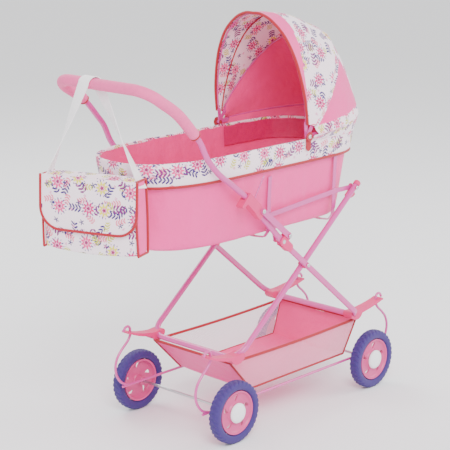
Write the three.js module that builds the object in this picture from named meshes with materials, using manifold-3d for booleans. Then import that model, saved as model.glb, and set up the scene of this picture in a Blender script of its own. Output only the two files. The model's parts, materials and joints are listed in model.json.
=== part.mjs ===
// Doll stroller: sprung wire chassis on four wheels, crossed tube frame, hinged push handle,
// fabric cot with a folding hood, mesh basket and a shoulder bag hung on the handle.
// Millimetres. +X points to the head end, +Y to the left, +Z up; the floor is Z = 0.
import * as THREE from 'three';
import { mergeVertices } from 'three/addons/utils/BufferGeometryUtils.js';
import Module from 'manifold-3d';

const wasm = await Module();
wasm.setup();

// ---- driving dimensions -------------------------------------------------------------------

const CLEARANCE = 0.3;            // gap kept between faces that touch

// wheels and axles
const WHEEL_RADIUS = 65;
const TYRE_WIDTH = 24;
const TYRE_DEPTH = 19;            // tread to bead
const WHEELBASE = 446;
const TRACK = 280;                // between the middles of the tyres
const AXLE_RADIUS = 3;
const HUB_RADIUS = 9;
const HUB_REACH = 18;             // hub, inwards from the middle of the tyre
const HUB_FACE = 8.5;             // hub, outwards from the middle of the tyre
const HUB_CAP_RADIUS = 21;
const HUB_CAP_HEIGHT = 8;
const WHEEL_SIDES = 24;

// sprung chassis wires
const WIRE_RADIUS = 2.75;
const WIRE_OFFSET = 116;          // each wire from the middle plane
const SPRING_BULGE = 86;          // how far the C springs reach past the axles
const SPRING_EYE = 43;            // wire through its bracket, past the axle
const SPRING_TOP = 200;

// crossed tube frame
const TUBE_RADIUS = 6;
const TUBE_WALL = 1.2;
const REAR_FRAME_OFFSET = 124;    // legs of the round rear tube from the middle plane
const FRONT_FRAME_OFFSET = 136;   // legs of the flat front tube from the middle plane
const FLAT_TUBE_WIDTH = 13;
const FLAT_TUBE_THICKNESS = 6.5;
const REAR_CROSS = new THREE.Vector2(26, 164);
const FRONT_CROSS = new THREE.Vector2(WHEELBASE - 36, 169);
const FRAME_CORNER_RADIUS = 35;
const HEAD_END = new THREE.Vector2(393, 460);      // head rivet, near the rear tube's end
const HANDLE_HINGE = new THREE.Vector2(146, 390);  // handle hinge, above the front tube
const BRACKET_WIDTH = 24;
const HEAD_PLATE_RADIUS = 25;
const RIVET_RADIUS = 2.5;
const RIVET_HEAD_RADIUS = 4.5;

// handle and its lock
const ARM_ANGLE = THREE.MathUtils.degToRad(135);   // lower arms, from +X towards +Z
const ARM_LENGTH = 140;           // hinge to the joint of flat arm and round bar
const BAR = new THREE.Vector2(-215, 735);
const HANDLE_TOP_OFFSET = 130;    // arms from the middle plane, at the grip
const HANDLE_CORNER_RADIUS = 45;
const GRIP_RADIUS = 11;
const BLOCK_START = 92;           // hinge to the lower end of the sliding block
const BLOCK_LENGTH = 66;
const EAR = new THREE.Vector2(HANDLE_HINGE.x + 14, HANDLE_HINGE.y + 10);
const LINK_HALF_WIDTH = 6.2;
const LINK_AHEAD = 6.4;           // the link's upper rivet, in front of the arm's middle
const LINK_PLAY = 1.9;            // round the ear's rivet, in the link's open lower pivot
const PLATE_THICKNESS = 2;        // links and carrier bars
const FLAT_BAR_RADIUS = 5;        // half the width of the flat bars

// cot and its carrier
const RIM_HEIGHT = 585;
const BAND_HEIGHT = 45;
const COT_BOTTOM = 405;
const COT_SAG = 5;
const COT_HEAD = 440;
const COT_FOOT = -185;
const COT_STRAIGHT = [20, 300];   // straight part of the long sides
const COT_MIDDLE = 150;
const COT_HALF_WIDTH = 118;
const COT_TAPER = 0.88;           // size of the bottom against the rim
const BAND_OFFSET = 7;            // outside of the band from the cot's side
const BAND_THICKNESS = 1.6;
const RIM_WIRE_RADIUS = 2;
const FABRIC = 2;
const CARRIER_OFFSET = 115.8;     // middle of the carrier bars from the middle plane
const CARRIER_REAR = new THREE.Vector2(130, 444);
const CARRIER_FRONT = new THREE.Vector2(336, 460);
const HOOP_WIDTH = 10;
const HOOP_THICKNESS = 1.6;

// hood
const HOOD_PIVOT = new THREE.Vector2(235, 592);
const HOOD_RADIUS = 246;
const HOOD_HALF_WIDTH = 127;
const HOOD_FABRIC = 2;
const BOW_RADIUS = 1.6;
const HOOD_PIN_RADIUS = 2;
const EYE_RADIUS = 6;

// basket
const BASKET_TOP = { from: 20, to: 427, half: 110, z: 155 };
const BASKET_FLOOR = { from: 90, to: 392, half: 103, z: 80 };

// bag
const BAG_CENTRE = new THREE.Vector2(-236, 0);
const BAG_WIDTH = 210;
const BAG_DEPTH = 47;
const BAG_TOP = 565;
const BAG_HEIGHT = 148;
const BAG_YAW = THREE.MathUtils.degToRad(19);
const BAG_CLOTH = 1.5;
const FLAP_HEIGHT = 104;
const STRAP_WIDTH = 28;
const STRAP_THICKNESS = 1.5;
const STRAP_CROSSING = 28;        // where the strap goes over the grip

// ---- finishes -----------------------------------------------------------------------------

const finish = (color, roughness, metalness = 0) =>
	new THREE.MeshStandardMaterial({ color, roughness, metalness });

const PAINT = finish(0xe99ccb, 0.3, 0.2);
const HOT_PINK = finish(0xf2609f, 0.45);
const PINK_FABRIC = finish(0xff86bb, 0.8);
const PRINT_FABRIC = finish(0xfbe3ee, 0.85);
const TYRE_FOAM = finish(0x4a3f9c, 0.75);
const RIM_PLASTIC = finish(0xec6f9f, 0.4);
const WHITE_PLASTIC = finish(0xf4f2f4, 0.35);
const STEEL = finish(0xc9cacc, 0.3, 1);
const GRIP_FOAM = finish(0xf0709c, 0.8);
const WEBBING = finish(0xf7f7f7, 0.9);

// ---- geometry helpers ---------------------------------------------------------------------

function toSolid(geometry) {
	const bare = geometry.clone();
	bare.deleteAttribute('normal');
	bare.deleteAttribute('uv');
	const merged = mergeVertices(bare, 1e-3);
	const vertProperties = new Float32Array(merged.attributes.position.array);
	const triVerts = new Uint32Array(merged.index.array);
	return new wasm.Manifold(new wasm.Mesh({ numProp: 3, vertProperties, triVerts }));
}

function fromSolid(solid) {
	const mesh = solid.getMesh();
	const geometry = new THREE.BufferGeometry();
	geometry.setAttribute('position', new THREE.BufferAttribute(mesh.vertProperties, 3));
	geometry.setIndex(new THREE.BufferAttribute(mesh.triVerts, 1));
	return geometry;
}

const join = (first, ...others) =>
	fromSolid(others.reduce((sum, part) => sum.add(toSolid(part)), toSolid(first)));

const cut = (body, ...tools) =>
	fromSolid(tools.reduce((rest, tool) => rest.subtract(toSolid(tool)), toSolid(body)));

// A path extruded through exactly the stations it is given. A station may carry the direction
// that the section's first axis points in.
class StationPath extends THREE.Curve {

	constructor(stations, sides = null) {
		super();
		this.stations = stations;
		this.sides = sides;
	}

	index(t) {
		return Math.min(this.stations.length - 1, Math.round(t * (this.stations.length - 1)));
	}

	getPoint(t) {
		return this.stations[this.index(t)].clone();
	}

	getPointAt(t) {
		return this.getPoint(t);
	}

	getTangent(t) {
		const i = this.index(t);
		const last = this.stations.length - 1;
		const here = this.stations[i];
		const incoming = here.clone().sub(this.stations[Math.max(0, i - 1)]).normalize();
		const outgoing = this.stations[Math.min(last, i + 1)].clone().sub(here).normalize();
		return incoming.add(outgoing).normalize();
	}

	getTangentAt(t) {
		return this.getTangent(t);
	}

	computeFrenetFrames(segments, closed) {
		if (!this.sides) return super.computeFrenetFrames(segments, closed);
		const tangents = this.stations.map((_, i) => this.getTangent(i / segments));
		const normals = tangents.map((tangent, i) =>
			this.sides[i].clone().projectOnPlane(tangent).normalize());
		const binormals = tangents.map((tangent, i) => tangent.clone().cross(normals[i]));
		return { tangents, normals, binormals };
	}

}

function sweep(section, stations, sides = null, curveSegments = 4) {
	return new THREE.ExtrudeGeometry(section, {
		steps: stations.length - 1,
		extrudePath: new StationPath(stations, sides),
		curveSegments,
		bevelEnabled: false,
	});
}

function roundSection(radius, bore = 0) {
	const section = new THREE.Shape().absarc(0, 0, radius, 0, 2 * Math.PI);
	if (bore > 0) section.holes.push(new THREE.Path().absarc(0, 0, bore, 0, 2 * Math.PI, true));
	return section;
}

// Flat-oval section: its short way across is the section's first axis.
function flatSection(width, thickness) {
	const flat = (width - thickness) / 2;
	const r = thickness / 2;
	const section = new THREE.Shape();
	section.moveTo(r, -flat);
	section.lineTo(r, flat);
	section.absarc(0, flat, r, 0, Math.PI);
	section.lineTo(-r, -flat);
	section.absarc(0, -flat, r, Math.PI, 2 * Math.PI);
	return section;
}

function flatTubeSection() {
	const section = flatSection(FLAT_TUBE_WIDTH, FLAT_TUBE_THICKNESS);
	const bore = flatSection(FLAT_TUBE_WIDTH - 2 * TUBE_WALL, FLAT_TUBE_THICKNESS - 2 * TUBE_WALL);
	section.holes.push(new THREE.Path(bore.getPoints(2).reverse()));
	return section;
}

function stripSection(width, thickness) {
	return new THREE.Shape([
		new THREE.Vector2(-width / 2, -thickness / 2), new THREE.Vector2(width / 2, -thickness / 2),
		new THREE.Vector2(width / 2, thickness / 2), new THREE.Vector2(-width / 2, thickness / 2),
	]);
}

// A profile drawn in X and Z, thickened on one side of the stroller (side -1 is the right)
// between two distances from the middle plane.
function sidePlate(shape, side, near, far, curveSegments = 4) {
	const depth = far - near;
	const geometry = new THREE.ExtrudeGeometry(shape, { depth, curveSegments, bevelEnabled: false });
	geometry.rotateX(Math.PI / 2);
	return geometry.translate(0, side > 0 ? far : -near, 0);
}

const along = (start, direction, distance) => start.clone().addScaledVector(direction, distance);

const direction2 = (from, to) => to.clone().sub(from).normalize();

// Outline of a bar with round ends between two points of the X-Z plane.
function barShape(start, end, radius) {
	const angle = Math.atan2(end.y - start.y, end.x - start.x);
	const shape = new THREE.Shape();
	shape.absarc(end.x, end.y, radius, angle - Math.PI / 2, angle + Math.PI / 2);
	shape.absarc(start.x, start.y, radius, angle + Math.PI / 2, angle + 1.5 * Math.PI);
	return shape;
}

function stripShape(start, end, halfWidth) {
	const forward = direction2(start, end);
	const across = new THREE.Vector2(-forward.y, forward.x);
	return new THREE.Shape([
		along(start, across, -halfWidth), along(end, across, -halfWidth),
		along(end, across, halfWidth), along(start, across, halfWidth),
	]);
}

const discShape = (centre, radius) =>
	new THREE.Shape().absarc(centre.x, centre.y, radius, 0, 2 * Math.PI);

// A pin along Y through a point of the X-Z plane.
function pin(centre, radius, side, near, far, sides = 8) {
	const geometry = new THREE.CylinderGeometry(radius, radius, far - near, sides);
	return geometry.translate(centre.x, side * (near + far) / 2, centre.y);
}

const rivetHole = (centre, side, near, far) =>
	pin(centre, RIVET_RADIUS + CLEARANCE, side, near, far);

// Turns a geometry made along +Y so that it runs along a direction of the X-Z plane.
const layAlong = (geometry, direction) =>
	geometry.rotateZ(-Math.PI / 2).rotateY(-Math.atan2(direction.y, direction.x));

function moveVertices(geometry, move) {
	const position = geometry.attributes.position;
	const point = new THREE.Vector3();
	for (let i = 0; i < position.count; i++) {
		move(point.fromBufferAttribute(position, i));
		position.setXYZ(i, point.x, point.y, point.z);
	}
	return geometry;
}

const mirrorY = (stations) => stations.map((p) => new THREE.Vector3(p.x, -p.y, p.z)).reverse();

const stroller = new THREE.Group();

function add(name, geometry, material, parent = stroller) {
	const mesh = new THREE.Mesh(geometry, material.clone());
	mesh.name = name;
	parent.add(mesh);
	return mesh;
}

const SIDES = [['right', -1], ['left', 1]];
const BEND_STEPS = 4;

// ---- wheels and axles ---------------------------------------------------------------------

const RIM_RADIUS = WHEEL_RADIUS - TYRE_DEPTH;

// A turned wheel part with flats like the tread's, one of them facing the floor.
function turned(profile, sides = WHEEL_SIDES) {
	const flatToCorner = 1 / Math.cos(Math.PI / sides);
	const points = profile.map(([radius, out]) => new THREE.Vector2(radius * flatToCorner, out));
	return new THREE.LatheGeometry(points, sides, Math.PI / sides);
}

function tyre() {
	const half = TYRE_WIDTH / 2;
	return turned([
		[RIM_RADIUS, -half + 1], [WHEEL_RADIUS - 4, -half], [WHEEL_RADIUS, -half + 4],
		[WHEEL_RADIUS, half - 4], [WHEEL_RADIUS - 4, half], [RIM_RADIUS, half - 1],
		[RIM_RADIUS, -half + 1],
	]);
}

// Dished rim with a hub and five slanting slots, its outer face towards +Y.
function rim() {
	const bead = RIM_RADIUS - CLEARANCE;
	const bore = AXLE_RADIUS + CLEARANCE;
	const lip = TYRE_WIDTH / 2 - 2.5;
	const disc = turned([
		[bore, -HUB_REACH], [HUB_RADIUS, -HUB_REACH], [HUB_RADIUS, 1], [bead - 5, 1],
		[bead - 4, -lip], [bead, -lip], [bead, lip], [bead - 4, lip],
		[HUB_CAP_RADIUS, HUB_FACE], [bore, HUB_FACE], [bore, -HUB_REACH],
	]);
	const slots = [];
	for (let i = 0; i < 5; i++) {
		const slot = new THREE.CylinderGeometry(1, 1, 2 * TYRE_WIDTH, 8);
		slot.scale(3.2, 1, 6.2).rotateY(0.6).translate(0, 0, RIM_RADIUS - 15);
		slots.push(slot.rotateY(i * 2 * Math.PI / 5));
	}
	return cut(disc, ...slots);
}

function hubCap() {
	const seat = HUB_FACE + CLEARANCE;
	return turned([
		[0, seat], [HUB_CAP_RADIUS, seat], [HUB_CAP_RADIUS, seat + 3],
		[HUB_CAP_RADIUS - 5, seat + HUB_CAP_HEIGHT - 1], [HUB_CAP_RADIUS - 9, seat + HUB_CAP_HEIGHT],
		[0, seat + HUB_CAP_HEIGHT],
	], 16);
}

for (const [end, x] of [['rear', 0], ['front', WHEELBASE]]) {
	const axle = new THREE.CylinderGeometry(AXLE_RADIUS, AXLE_RADIUS, TRACK + 2 * HUB_FACE - 1, 12);
	add(`${end}_axle`, axle.translate(x, 0, WHEEL_RADIUS), STEEL);
	for (const [sideName, side] of SIDES) {
		const place = (geometry) => (side > 0 ? geometry : geometry.rotateX(Math.PI))
			.translate(x, side * TRACK / 2, WHEEL_RADIUS);
		add(`${end}_${sideName}_tyre`, place(tyre()), TYRE_FOAM);
		add(`${end}_${sideName}_rim`, place(rim()), RIM_PLASTIC);
		add(`${end}_${sideName}_hub_cap`, place(hubCap()), WHITE_PLASTIC);
	}
}

// ---- sprung chassis wires -----------------------------------------------------------------

// One end of the wire from its free hook to the rail, for the rear axle at X = 0.
function springStations() {
	const eye = -SPRING_EYE;
	const bulge = -SPRING_BULGE;
	const rail = WHEEL_RADIUS + AXLE_RADIUS + CLEARANCE + WIRE_RADIUS;
	const points = [
		[eye - 19, SPRING_TOP - 10], [eye - 15, SPRING_TOP - 3], [eye - 7, SPRING_TOP],
		[eye - 1, SPRING_TOP - 4], [eye, SPRING_TOP - 11], [eye, SPRING_TOP - 20],
		[eye - 7, SPRING_TOP - 32], [eye - 23, SPRING_TOP - 46], [bulge + 6, rail + 67],
		[bulge, rail + 47], [bulge + 4, rail + 27], [bulge + 18, rail + 9], [bulge + 38, rail + 1],
		[bulge + 61, rail],
	];
	return points.map(([x, z]) => new THREE.Vector3(x, 0, z));
}

for (const [sideName, side] of SIDES) {
	const rear = new THREE.CatmullRomCurve3(springStations()).getPoints(20);
	const front = rear.map((p) => new THREE.Vector3(WHEELBASE - p.x, 0, p.z)).reverse();
	const wire = sweep(roundSection(WIRE_RADIUS), [...rear, ...front], null, 3);
	add(`${sideName}_chassis_wire`, wire.translate(0, side * WIRE_OFFSET, 0), PAINT);
}

// ---- crossed tube frame -------------------------------------------------------------------

const REAR_LEG = direction2(REAR_CROSS, HEAD_END);
const FRONT_LEG = direction2(HANDLE_HINGE, FRONT_CROSS);
const REAR_TOP = along(HEAD_END, REAR_LEG, 12);
const FRONT_TOP = along(HANDLE_HINGE, FRONT_LEG, 13);

// Stations of a U-shaped tube: down one leg, round a bend, across, and up the other leg.
function uStations(top, cross, offset) {
	const leg = direction2(cross, top);
	const stations = [new THREE.Vector3(top.x, -offset, top.y)];
	for (let i = 0; i <= BEND_STEPS; i++) {
		const turn = i / BEND_STEPS * Math.PI / 2;
		const up = along(cross, leg, FRAME_CORNER_RADIUS * (1 - Math.sin(turn)));
		const y = -offset + FRAME_CORNER_RADIUS * (1 - Math.cos(turn));
		stations.push(new THREE.Vector3(up.x, y, up.y));
	}
	return [...stations, ...mirrorY(stations)];
}

// Where the legs of the two tubes cross, seen from the side.
function crossing() {
	const gap = HANDLE_HINGE.clone().sub(REAR_CROSS);
	const distance = gap.cross(FRONT_LEG) / REAR_LEG.cross(FRONT_LEG);
	return along(REAR_CROSS, REAR_LEG, distance);
}

const CROSSING = crossing();
const REAR_TUBE_STATIONS = uStations(REAR_TOP, REAR_CROSS, REAR_FRAME_OFFSET);
const FRONT_TUBE_STATIONS = uStations(FRONT_TOP, FRONT_CROSS, FRONT_FRAME_OFFSET);

// The flat tube keeps its wide side square to the plane of its U.
const FRONT_TUBE_SIDES = FRONT_TUBE_STATIONS.map((_, i) =>
	new THREE.Vector3(-FRONT_LEG.y, 0, FRONT_LEG.x)
		.cross(new StationPath(FRONT_TUBE_STATIONS).getTangent(i / (FRONT_TUBE_STATIONS.length - 1))));

const bothSides = (makeTool) => SIDES.map(([, side]) => makeTool(side));

add('rear_frame_tube', cut(
	sweep(roundSection(TUBE_RADIUS, TUBE_RADIUS - TUBE_WALL), REAR_TUBE_STATIONS),
	...bothSides((side) =>
		rivetHole(CROSSING, side, REAR_FRAME_OFFSET - 10, REAR_FRAME_OFFSET + 10)),
	...bothSides((side) =>
		rivetHole(HEAD_END, side, REAR_FRAME_OFFSET - 10, REAR_FRAME_OFFSET + 10)),
), PAINT);
add('front_frame_tube', cut(
	sweep(flatTubeSection(), FRONT_TUBE_STATIONS, FRONT_TUBE_SIDES, 2),
	...bothSides((side) =>
		rivetHole(CROSSING, side, FRONT_FRAME_OFFSET - 10, FRONT_FRAME_OFFSET + 10)),
), PAINT);

const REAR_TUBE_IN = REAR_FRAME_OFFSET - TUBE_RADIUS;
const REAR_TUBE_OUT = REAR_FRAME_OFFSET + TUBE_RADIUS;
const FLAT_TUBE_IN = FRONT_FRAME_OFFSET - FLAT_TUBE_THICKNESS / 2;
const FLAT_TUBE_OUT = FRONT_FRAME_OFFSET + FLAT_TUBE_THICKNESS / 2;

// Rivet with a plastic boss that fills the gap between the two tubes.
for (const [sideName, side] of SIDES) {
	add(`${sideName}_crossing_rivet`, join(
		pin(CROSSING, RIVET_RADIUS, side, REAR_TUBE_IN - 1.5, FLAT_TUBE_OUT + 1.5),
		pin(CROSSING, RIVET_HEAD_RADIUS, side, REAR_TUBE_IN - 2.3, REAR_TUBE_IN - CLEARANCE),
		pin(CROSSING, RIVET_HEAD_RADIUS, side, FLAT_TUBE_OUT + CLEARANCE, FLAT_TUBE_OUT + 2.2),
		pin(CROSSING, TUBE_RADIUS + 2, side, REAR_TUBE_OUT + CLEARANCE, FLAT_TUBE_IN - CLEARANCE, 16),
	), HOT_PINK);
}

// ---- corner brackets ----------------------------------------------------------------------

// Blade from the spring's eye to a saddle round the tube corner, drawn for the rear axle.
function bracketShape(cross) {
	const tip = -SPRING_EYE - 13;
	const shape = new THREE.Shape();
	shape.moveTo(tip, SPRING_TOP - 14);
	shape.lineTo(tip, SPRING_TOP - 11);
	shape.quadraticCurveTo(tip + 1, SPRING_TOP - 9.5, tip + 4, SPRING_TOP - 9.5);
	shape.quadraticCurveTo(tip + 30, cross.y + 14, cross.x - 8, cross.y + 10);
	shape.lineTo(cross.x + 16, cross.y + 12);
	shape.quadraticCurveTo(cross.x + 24, cross.y + 8, cross.x + 18, cross.y - 1);
	shape.quadraticCurveTo(cross.x + 10, cross.y - 8.8, cross.x, cross.y - 8.8);
	shape.quadraticCurveTo(cross.x - 12, cross.y - 8.8, cross.x - 18, cross.y + 3);
	shape.quadraticCurveTo(tip + 30, cross.y + 9, tip + 4, SPRING_TOP - 14.5);
	return shape;
}

const BRACKET_IN = WIRE_OFFSET - 13;
const BRACKET_OUT = BRACKET_IN + BRACKET_WIDTH;
const frontToRear = (point) => new THREE.Vector2(WHEELBASE - point.x, point.y);

const TUBE_CORNERS = {
	rear: {
		cross: REAR_CROSS,
		space: sweep(roundSection(TUBE_RADIUS + CLEARANCE), REAR_TUBE_STATIONS),
	},
	front: {
		cross: frontToRear(FRONT_CROSS),
		space: sweep(flatSection(FLAT_TUBE_WIDTH + 2 * CLEARANCE,
			FLAT_TUBE_THICKNESS + 2 * CLEARANCE), FRONT_TUBE_STATIONS, FRONT_TUBE_SIDES, 2),
	},
};

for (const [end, { cross, space }] of Object.entries(TUBE_CORNERS)) {
	for (const [sideName, side] of SIDES) {
		const blade = sidePlate(bracketShape(cross), side, BRACKET_IN, BRACKET_OUT, 5);
		if (end === 'front') {
			blade.rotateZ(Math.PI).translate(WHEELBASE, side * (BRACKET_IN + BRACKET_OUT), 0);
		}
		const eyeX = end === 'front' ? WHEELBASE + SPRING_EYE : -SPRING_EYE;
		const eye = new THREE.CylinderGeometry(WIRE_RADIUS + 1, WIRE_RADIUS + 1, 40, 10);
		eye.rotateX(Math.PI / 2).translate(eyeX, side * WIRE_OFFSET, SPRING_TOP - 12);
		add(`${end}_${sideName}_corner_bracket`, cut(blade, eye, space), HOT_PINK);
	}
}

// ---- cot carrier --------------------------------------------------------------------------

const CARRIER_IN = CARRIER_OFFSET - PLATE_THICKNESS / 2;
const CARRIER_OUT = CARRIER_OFFSET + PLATE_THICKNESS / 2;
const STRUT_IN = CARRIER_OUT + CLEARANCE;
const STRUT_OUT = STRUT_IN + PLATE_THICKNESS;
const HOOP_OFFSET = CARRIER_IN - CLEARANCE - HOOP_THICKNESS / 2;
const HOOP_IN = HOOP_OFFSET - HOOP_THICKNESS / 2;

// Rivet through a cot hoop, its head between the hoop and the cot.
function hoopRivet(centre, side, root) {
	return [
		pin(centre, RIVET_RADIUS, side, HOOP_IN - 1, root),
		pin(centre, RIVET_HEAD_RADIUS, side, HOOP_IN - 1.8, HOOP_IN - CLEARANCE),
	];
}

for (const [sideName, side] of SIDES) {
	const bar = join(
		sidePlate(barShape(CARRIER_REAR, CARRIER_FRONT, FLAT_BAR_RADIUS), side, CARRIER_IN,
			CARRIER_OUT, 5),
		sidePlate(barShape(CARRIER_FRONT, HEAD_END, FLAT_BAR_RADIUS), side, CARRIER_IN,
			CARRIER_OUT, 5),
		...hoopRivet(CARRIER_FRONT, side, CARRIER_IN + 1),
	);
	add(`${sideName}_carrier_bar`, cut(bar,
		rivetHole(CARRIER_REAR, side, CARRIER_IN - 5, CARRIER_OUT + 5),
		rivetHole(HEAD_END, side, CARRIER_IN - 5, CARRIER_OUT + 5)), PAINT);

	const strut = join(
		sidePlate(barShape(HANDLE_HINGE, CARRIER_REAR, FLAT_BAR_RADIUS), side, STRUT_IN,
			STRUT_OUT, 5),
		...hoopRivet(CARRIER_REAR, side, STRUT_IN + 1),
	);
	add(`${sideName}_carrier_strut`,
		cut(strut, rivetHole(HANDLE_HINGE, side, STRUT_IN - 5, STRUT_OUT + 5)), PAINT);

	// Quarter-round plate behind the tube's upper end, with the rivet that holds tube and bar.
	const plateOut = CARRIER_IN - CLEARANCE;
	const down = Math.atan2(-REAR_LEG.y, -REAR_LEG.x);
	const quarter = new THREE.Shape();
	const corner = along(HEAD_END, REAR_LEG, 6);
	quarter.moveTo(corner.x, corner.y);
	const rimStart = along(HEAD_END, REAR_LEG, -HEAD_PLATE_RADIUS);
	quarter.lineTo(rimStart.x, rimStart.y);
	quarter.absarc(HEAD_END.x, HEAD_END.y, HEAD_PLATE_RADIUS, down, down + Math.PI / 2);
	add(`${sideName}_head_plate`, join(
		sidePlate(quarter, side, plateOut - PLATE_THICKNESS, plateOut, 6),
		sidePlate(discShape(HEAD_END, 7.5), side, plateOut - PLATE_THICKNESS, plateOut, 8),
		pin(HEAD_END, RIVET_RADIUS, side, plateOut - 1, REAR_TUBE_OUT + 1.5),
		pin(HEAD_END, RIVET_HEAD_RADIUS, side, REAR_TUBE_OUT + CLEARANCE, REAR_TUBE_OUT + 2.2),
	), HOT_PINK);

	const bore = TUBE_RADIUS + CLEARANCE;
	const cap = new THREE.LatheGeometry([
		[0, 12 + CLEARANCE], [bore, 12 + CLEARANCE], [bore, 6.5], [TUBE_RADIUS + 1.6, 6.5],
		[TUBE_RADIUS + 1.6, 14.5], [TUBE_RADIUS - 0.5, 16.5], [0, 16.5],
	].map(([radius, height]) => new THREE.Vector2(radius, height)), 14);
	layAlong(cap, REAR_LEG).translate(HEAD_END.x, side * REAR_FRAME_OFFSET, HEAD_END.y);
	add(`${sideName}_tube_cap`, cap, HOT_PINK);
}

// U-shaped flat strips that pass under the cot.
for (const [name, centre, top] of [['rear_cot_hoop', CARRIER_REAR, 524],
	['front_cot_hoop', CARRIER_FRONT, 536]]) {
	const under = COT_BOTTOM - COT_SAG;
	const half = [
		[HOOP_OFFSET + 2.8, top], [HOOP_OFFSET + 0.9, 490], [HOOP_OFFSET, 474],
		[HOOP_OFFSET, 426], [HOOP_OFFSET - 3, under + 8], [HOOP_OFFSET - 12, under - 3.5],
		[HOOP_OFFSET - 34, under - 6], [0, under - 6.5],
	];
	const right = half.map(([y, z]) => new THREE.Vector3(centre.x, -y, z));
	const stations = [...right, ...mirrorY(right).slice(1)];
	const sides = stations.map(() => new THREE.Vector3(1, 0, 0));
	const strip = sweep(stripSection(HOOP_WIDTH, HOOP_THICKNESS), stations, sides);
	add(name, cut(strip, ...bothSides((side) =>
		rivetHole(centre, side, HOOP_IN - 5, HOOP_IN + 8))), PAINT);
}

// ---- handle hinge -------------------------------------------------------------------------

const ARM_DIRECTION = new THREE.Vector2(Math.cos(ARM_ANGLE), Math.sin(ARM_ANGLE));
const ARM_FRONT = new THREE.Vector2(Math.sin(ARM_ANGLE), -Math.cos(ARM_ANGLE));
const SLOT_IN = FLAT_TUBE_IN - CLEARANCE;
const SLOT_OUT = FLAT_TUBE_OUT + CLEARANCE;
const KNUCKLE_IN = SLOT_IN - 2.7;
const KNUCKLE_OUT = SLOT_OUT + 2.7;
const LINK_IN = KNUCKLE_OUT + CLEARANCE;
const LINK_OUT = LINK_IN + PLATE_THICKNESS;
const FLAT_TUBE_HALF = FLAT_TUBE_WIDTH / 2;

// A point by its distance along the lower arm from the hinge and in front of the arm.
const onArm = (s, n) => along(along(HANDLE_HINGE, ARM_DIRECTION, s), ARM_FRONT, n);

const LINK_TOP = onArm(BLOCK_START + 8, LINK_AHEAD);

// A rivet that passes the link and keeps it on.
const linkRivet = (centre, side) => [
	pin(centre, RIVET_RADIUS, side, KNUCKLE_OUT - 1, LINK_OUT + 1.2),
	pin(centre, RIVET_HEAD_RADIUS, side, LINK_OUT + CLEARANCE, LINK_OUT + 1.8),
];

for (const [sideName, side] of SIDES) {
	const neck = along(HANDLE_HINGE, FRONT_LEG, 24);
	const body = join(
		sidePlate(discShape(HANDLE_HINGE, 10.5), side, KNUCKLE_IN, KNUCKLE_OUT),
		sidePlate(barShape(HANDLE_HINGE, EAR, 8), side, KNUCKLE_IN, KNUCKLE_OUT),
		sidePlate(barShape(HANDLE_HINGE, neck, 9), side, KNUCKLE_IN, KNUCKLE_OUT),
	);
	const slot = (shape) => sidePlate(shape, side, SLOT_IN, SLOT_OUT);
	const clevis = cut(body,
		slot(discShape(HANDLE_HINGE, FLAT_TUBE_HALF + 0.6)),
		slot(stripShape(HANDLE_HINGE, onArm(40, 0), FLAT_TUBE_HALF + 1.2)),
		slot(stripShape(HANDLE_HINGE, onArm(0, -40), FLAT_TUBE_HALF + 1.2)),
		slot(stripShape(along(FRONT_TOP, FRONT_LEG, -CLEARANCE), along(FRONT_TOP, FRONT_LEG, 60),
			FLAT_TUBE_HALF + CLEARANCE)),
	);
	// The hinge rivet is flush outside, because the link passes over it as the handle folds.
	add(`${sideName}_hinge_knuckle`, join(clevis,
		pin(HANDLE_HINGE, RIVET_RADIUS, side, STRUT_IN - 1.2, KNUCKLE_OUT),
		pin(HANDLE_HINGE, RIVET_HEAD_RADIUS, side, STRUT_IN - 1.8, STRUT_IN - CLEARANCE),
		pin(HANDLE_HINGE, RIVET_HEAD_RADIUS, side, STRUT_OUT + CLEARANCE, KNUCKLE_IN + 0.5),
		...linkRivet(EAR, side)), HOT_PINK);
}

// ---- handle -------------------------------------------------------------------------------

for (const [sideName, side] of SIDES) {
	const [start, end] = [FLAT_TUBE_HALF - 2, ARM_LENGTH - CLEARANCE].map((s) => {
		const at = onArm(s, 0);
		return new THREE.Vector3(at.x, side * FRONT_FRAME_OFFSET, at.y);
	});
	const acrossY = [new THREE.Vector3(0, 1, 0), new THREE.Vector3(0, 1, 0)];
	const tongue = sidePlate(barShape(HANDLE_HINGE, onArm(16, 0), FLAT_TUBE_HALF - 0.2), side,
		FLAT_TUBE_IN, FLAT_TUBE_OUT, 8);
	add(`${sideName}_handle_arm`, cut(
		join(sweep(flatTubeSection(), [start, end], acrossY, 2), tongue),
		rivetHole(HANDLE_HINGE, side, SLOT_IN - 5, SLOT_OUT + 5)), PAINT);
}

const CORNER_START = new THREE.Vector2(-187, 714);

// Centre line of the round bar on the right, from the flat arm to the middle of the grip.
function handleStations() {
	const joint = onArm(ARM_LENGTH, 0);
	const bendStart = onArm(ARM_LENGTH + 20, 0);
	const points = [
		[bendStart.x, FRONT_FRAME_OFFSET, bendStart.y], [-1, FRONT_FRAME_OFFSET, 529],
		[-40, FRONT_FRAME_OFFSET, 558], [-69, FRONT_FRAME_OFFSET - 1, 590],
		[-88, FRONT_FRAME_OFFSET - 2.5, 625], [-105, HANDLE_TOP_OFFSET + 2, 645],
		[-143, HANDLE_TOP_OFFSET, 685], [CORNER_START.x, HANDLE_TOP_OFFSET, CORNER_START.y],
	];
	const curve = new THREE.CatmullRomCurve3(points.map(([x, y, z]) => new THREE.Vector3(x, -y, z)));
	const leg = [new THREE.Vector3(joint.x, -FRONT_FRAME_OFFSET, joint.y), ...curve.getPoints(12)];
	for (let i = 1; i <= BEND_STEPS + 1; i++) {
		const turn = i / (BEND_STEPS + 1) * Math.PI / 2;
		const up = CORNER_START.clone().lerp(BAR, Math.sin(turn));
		const y = -HANDLE_TOP_OFFSET + HANDLE_CORNER_RADIUS * (1 - Math.cos(turn));
		leg.push(new THREE.Vector3(up.x, y, up.y));
	}
	return leg;
}

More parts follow.
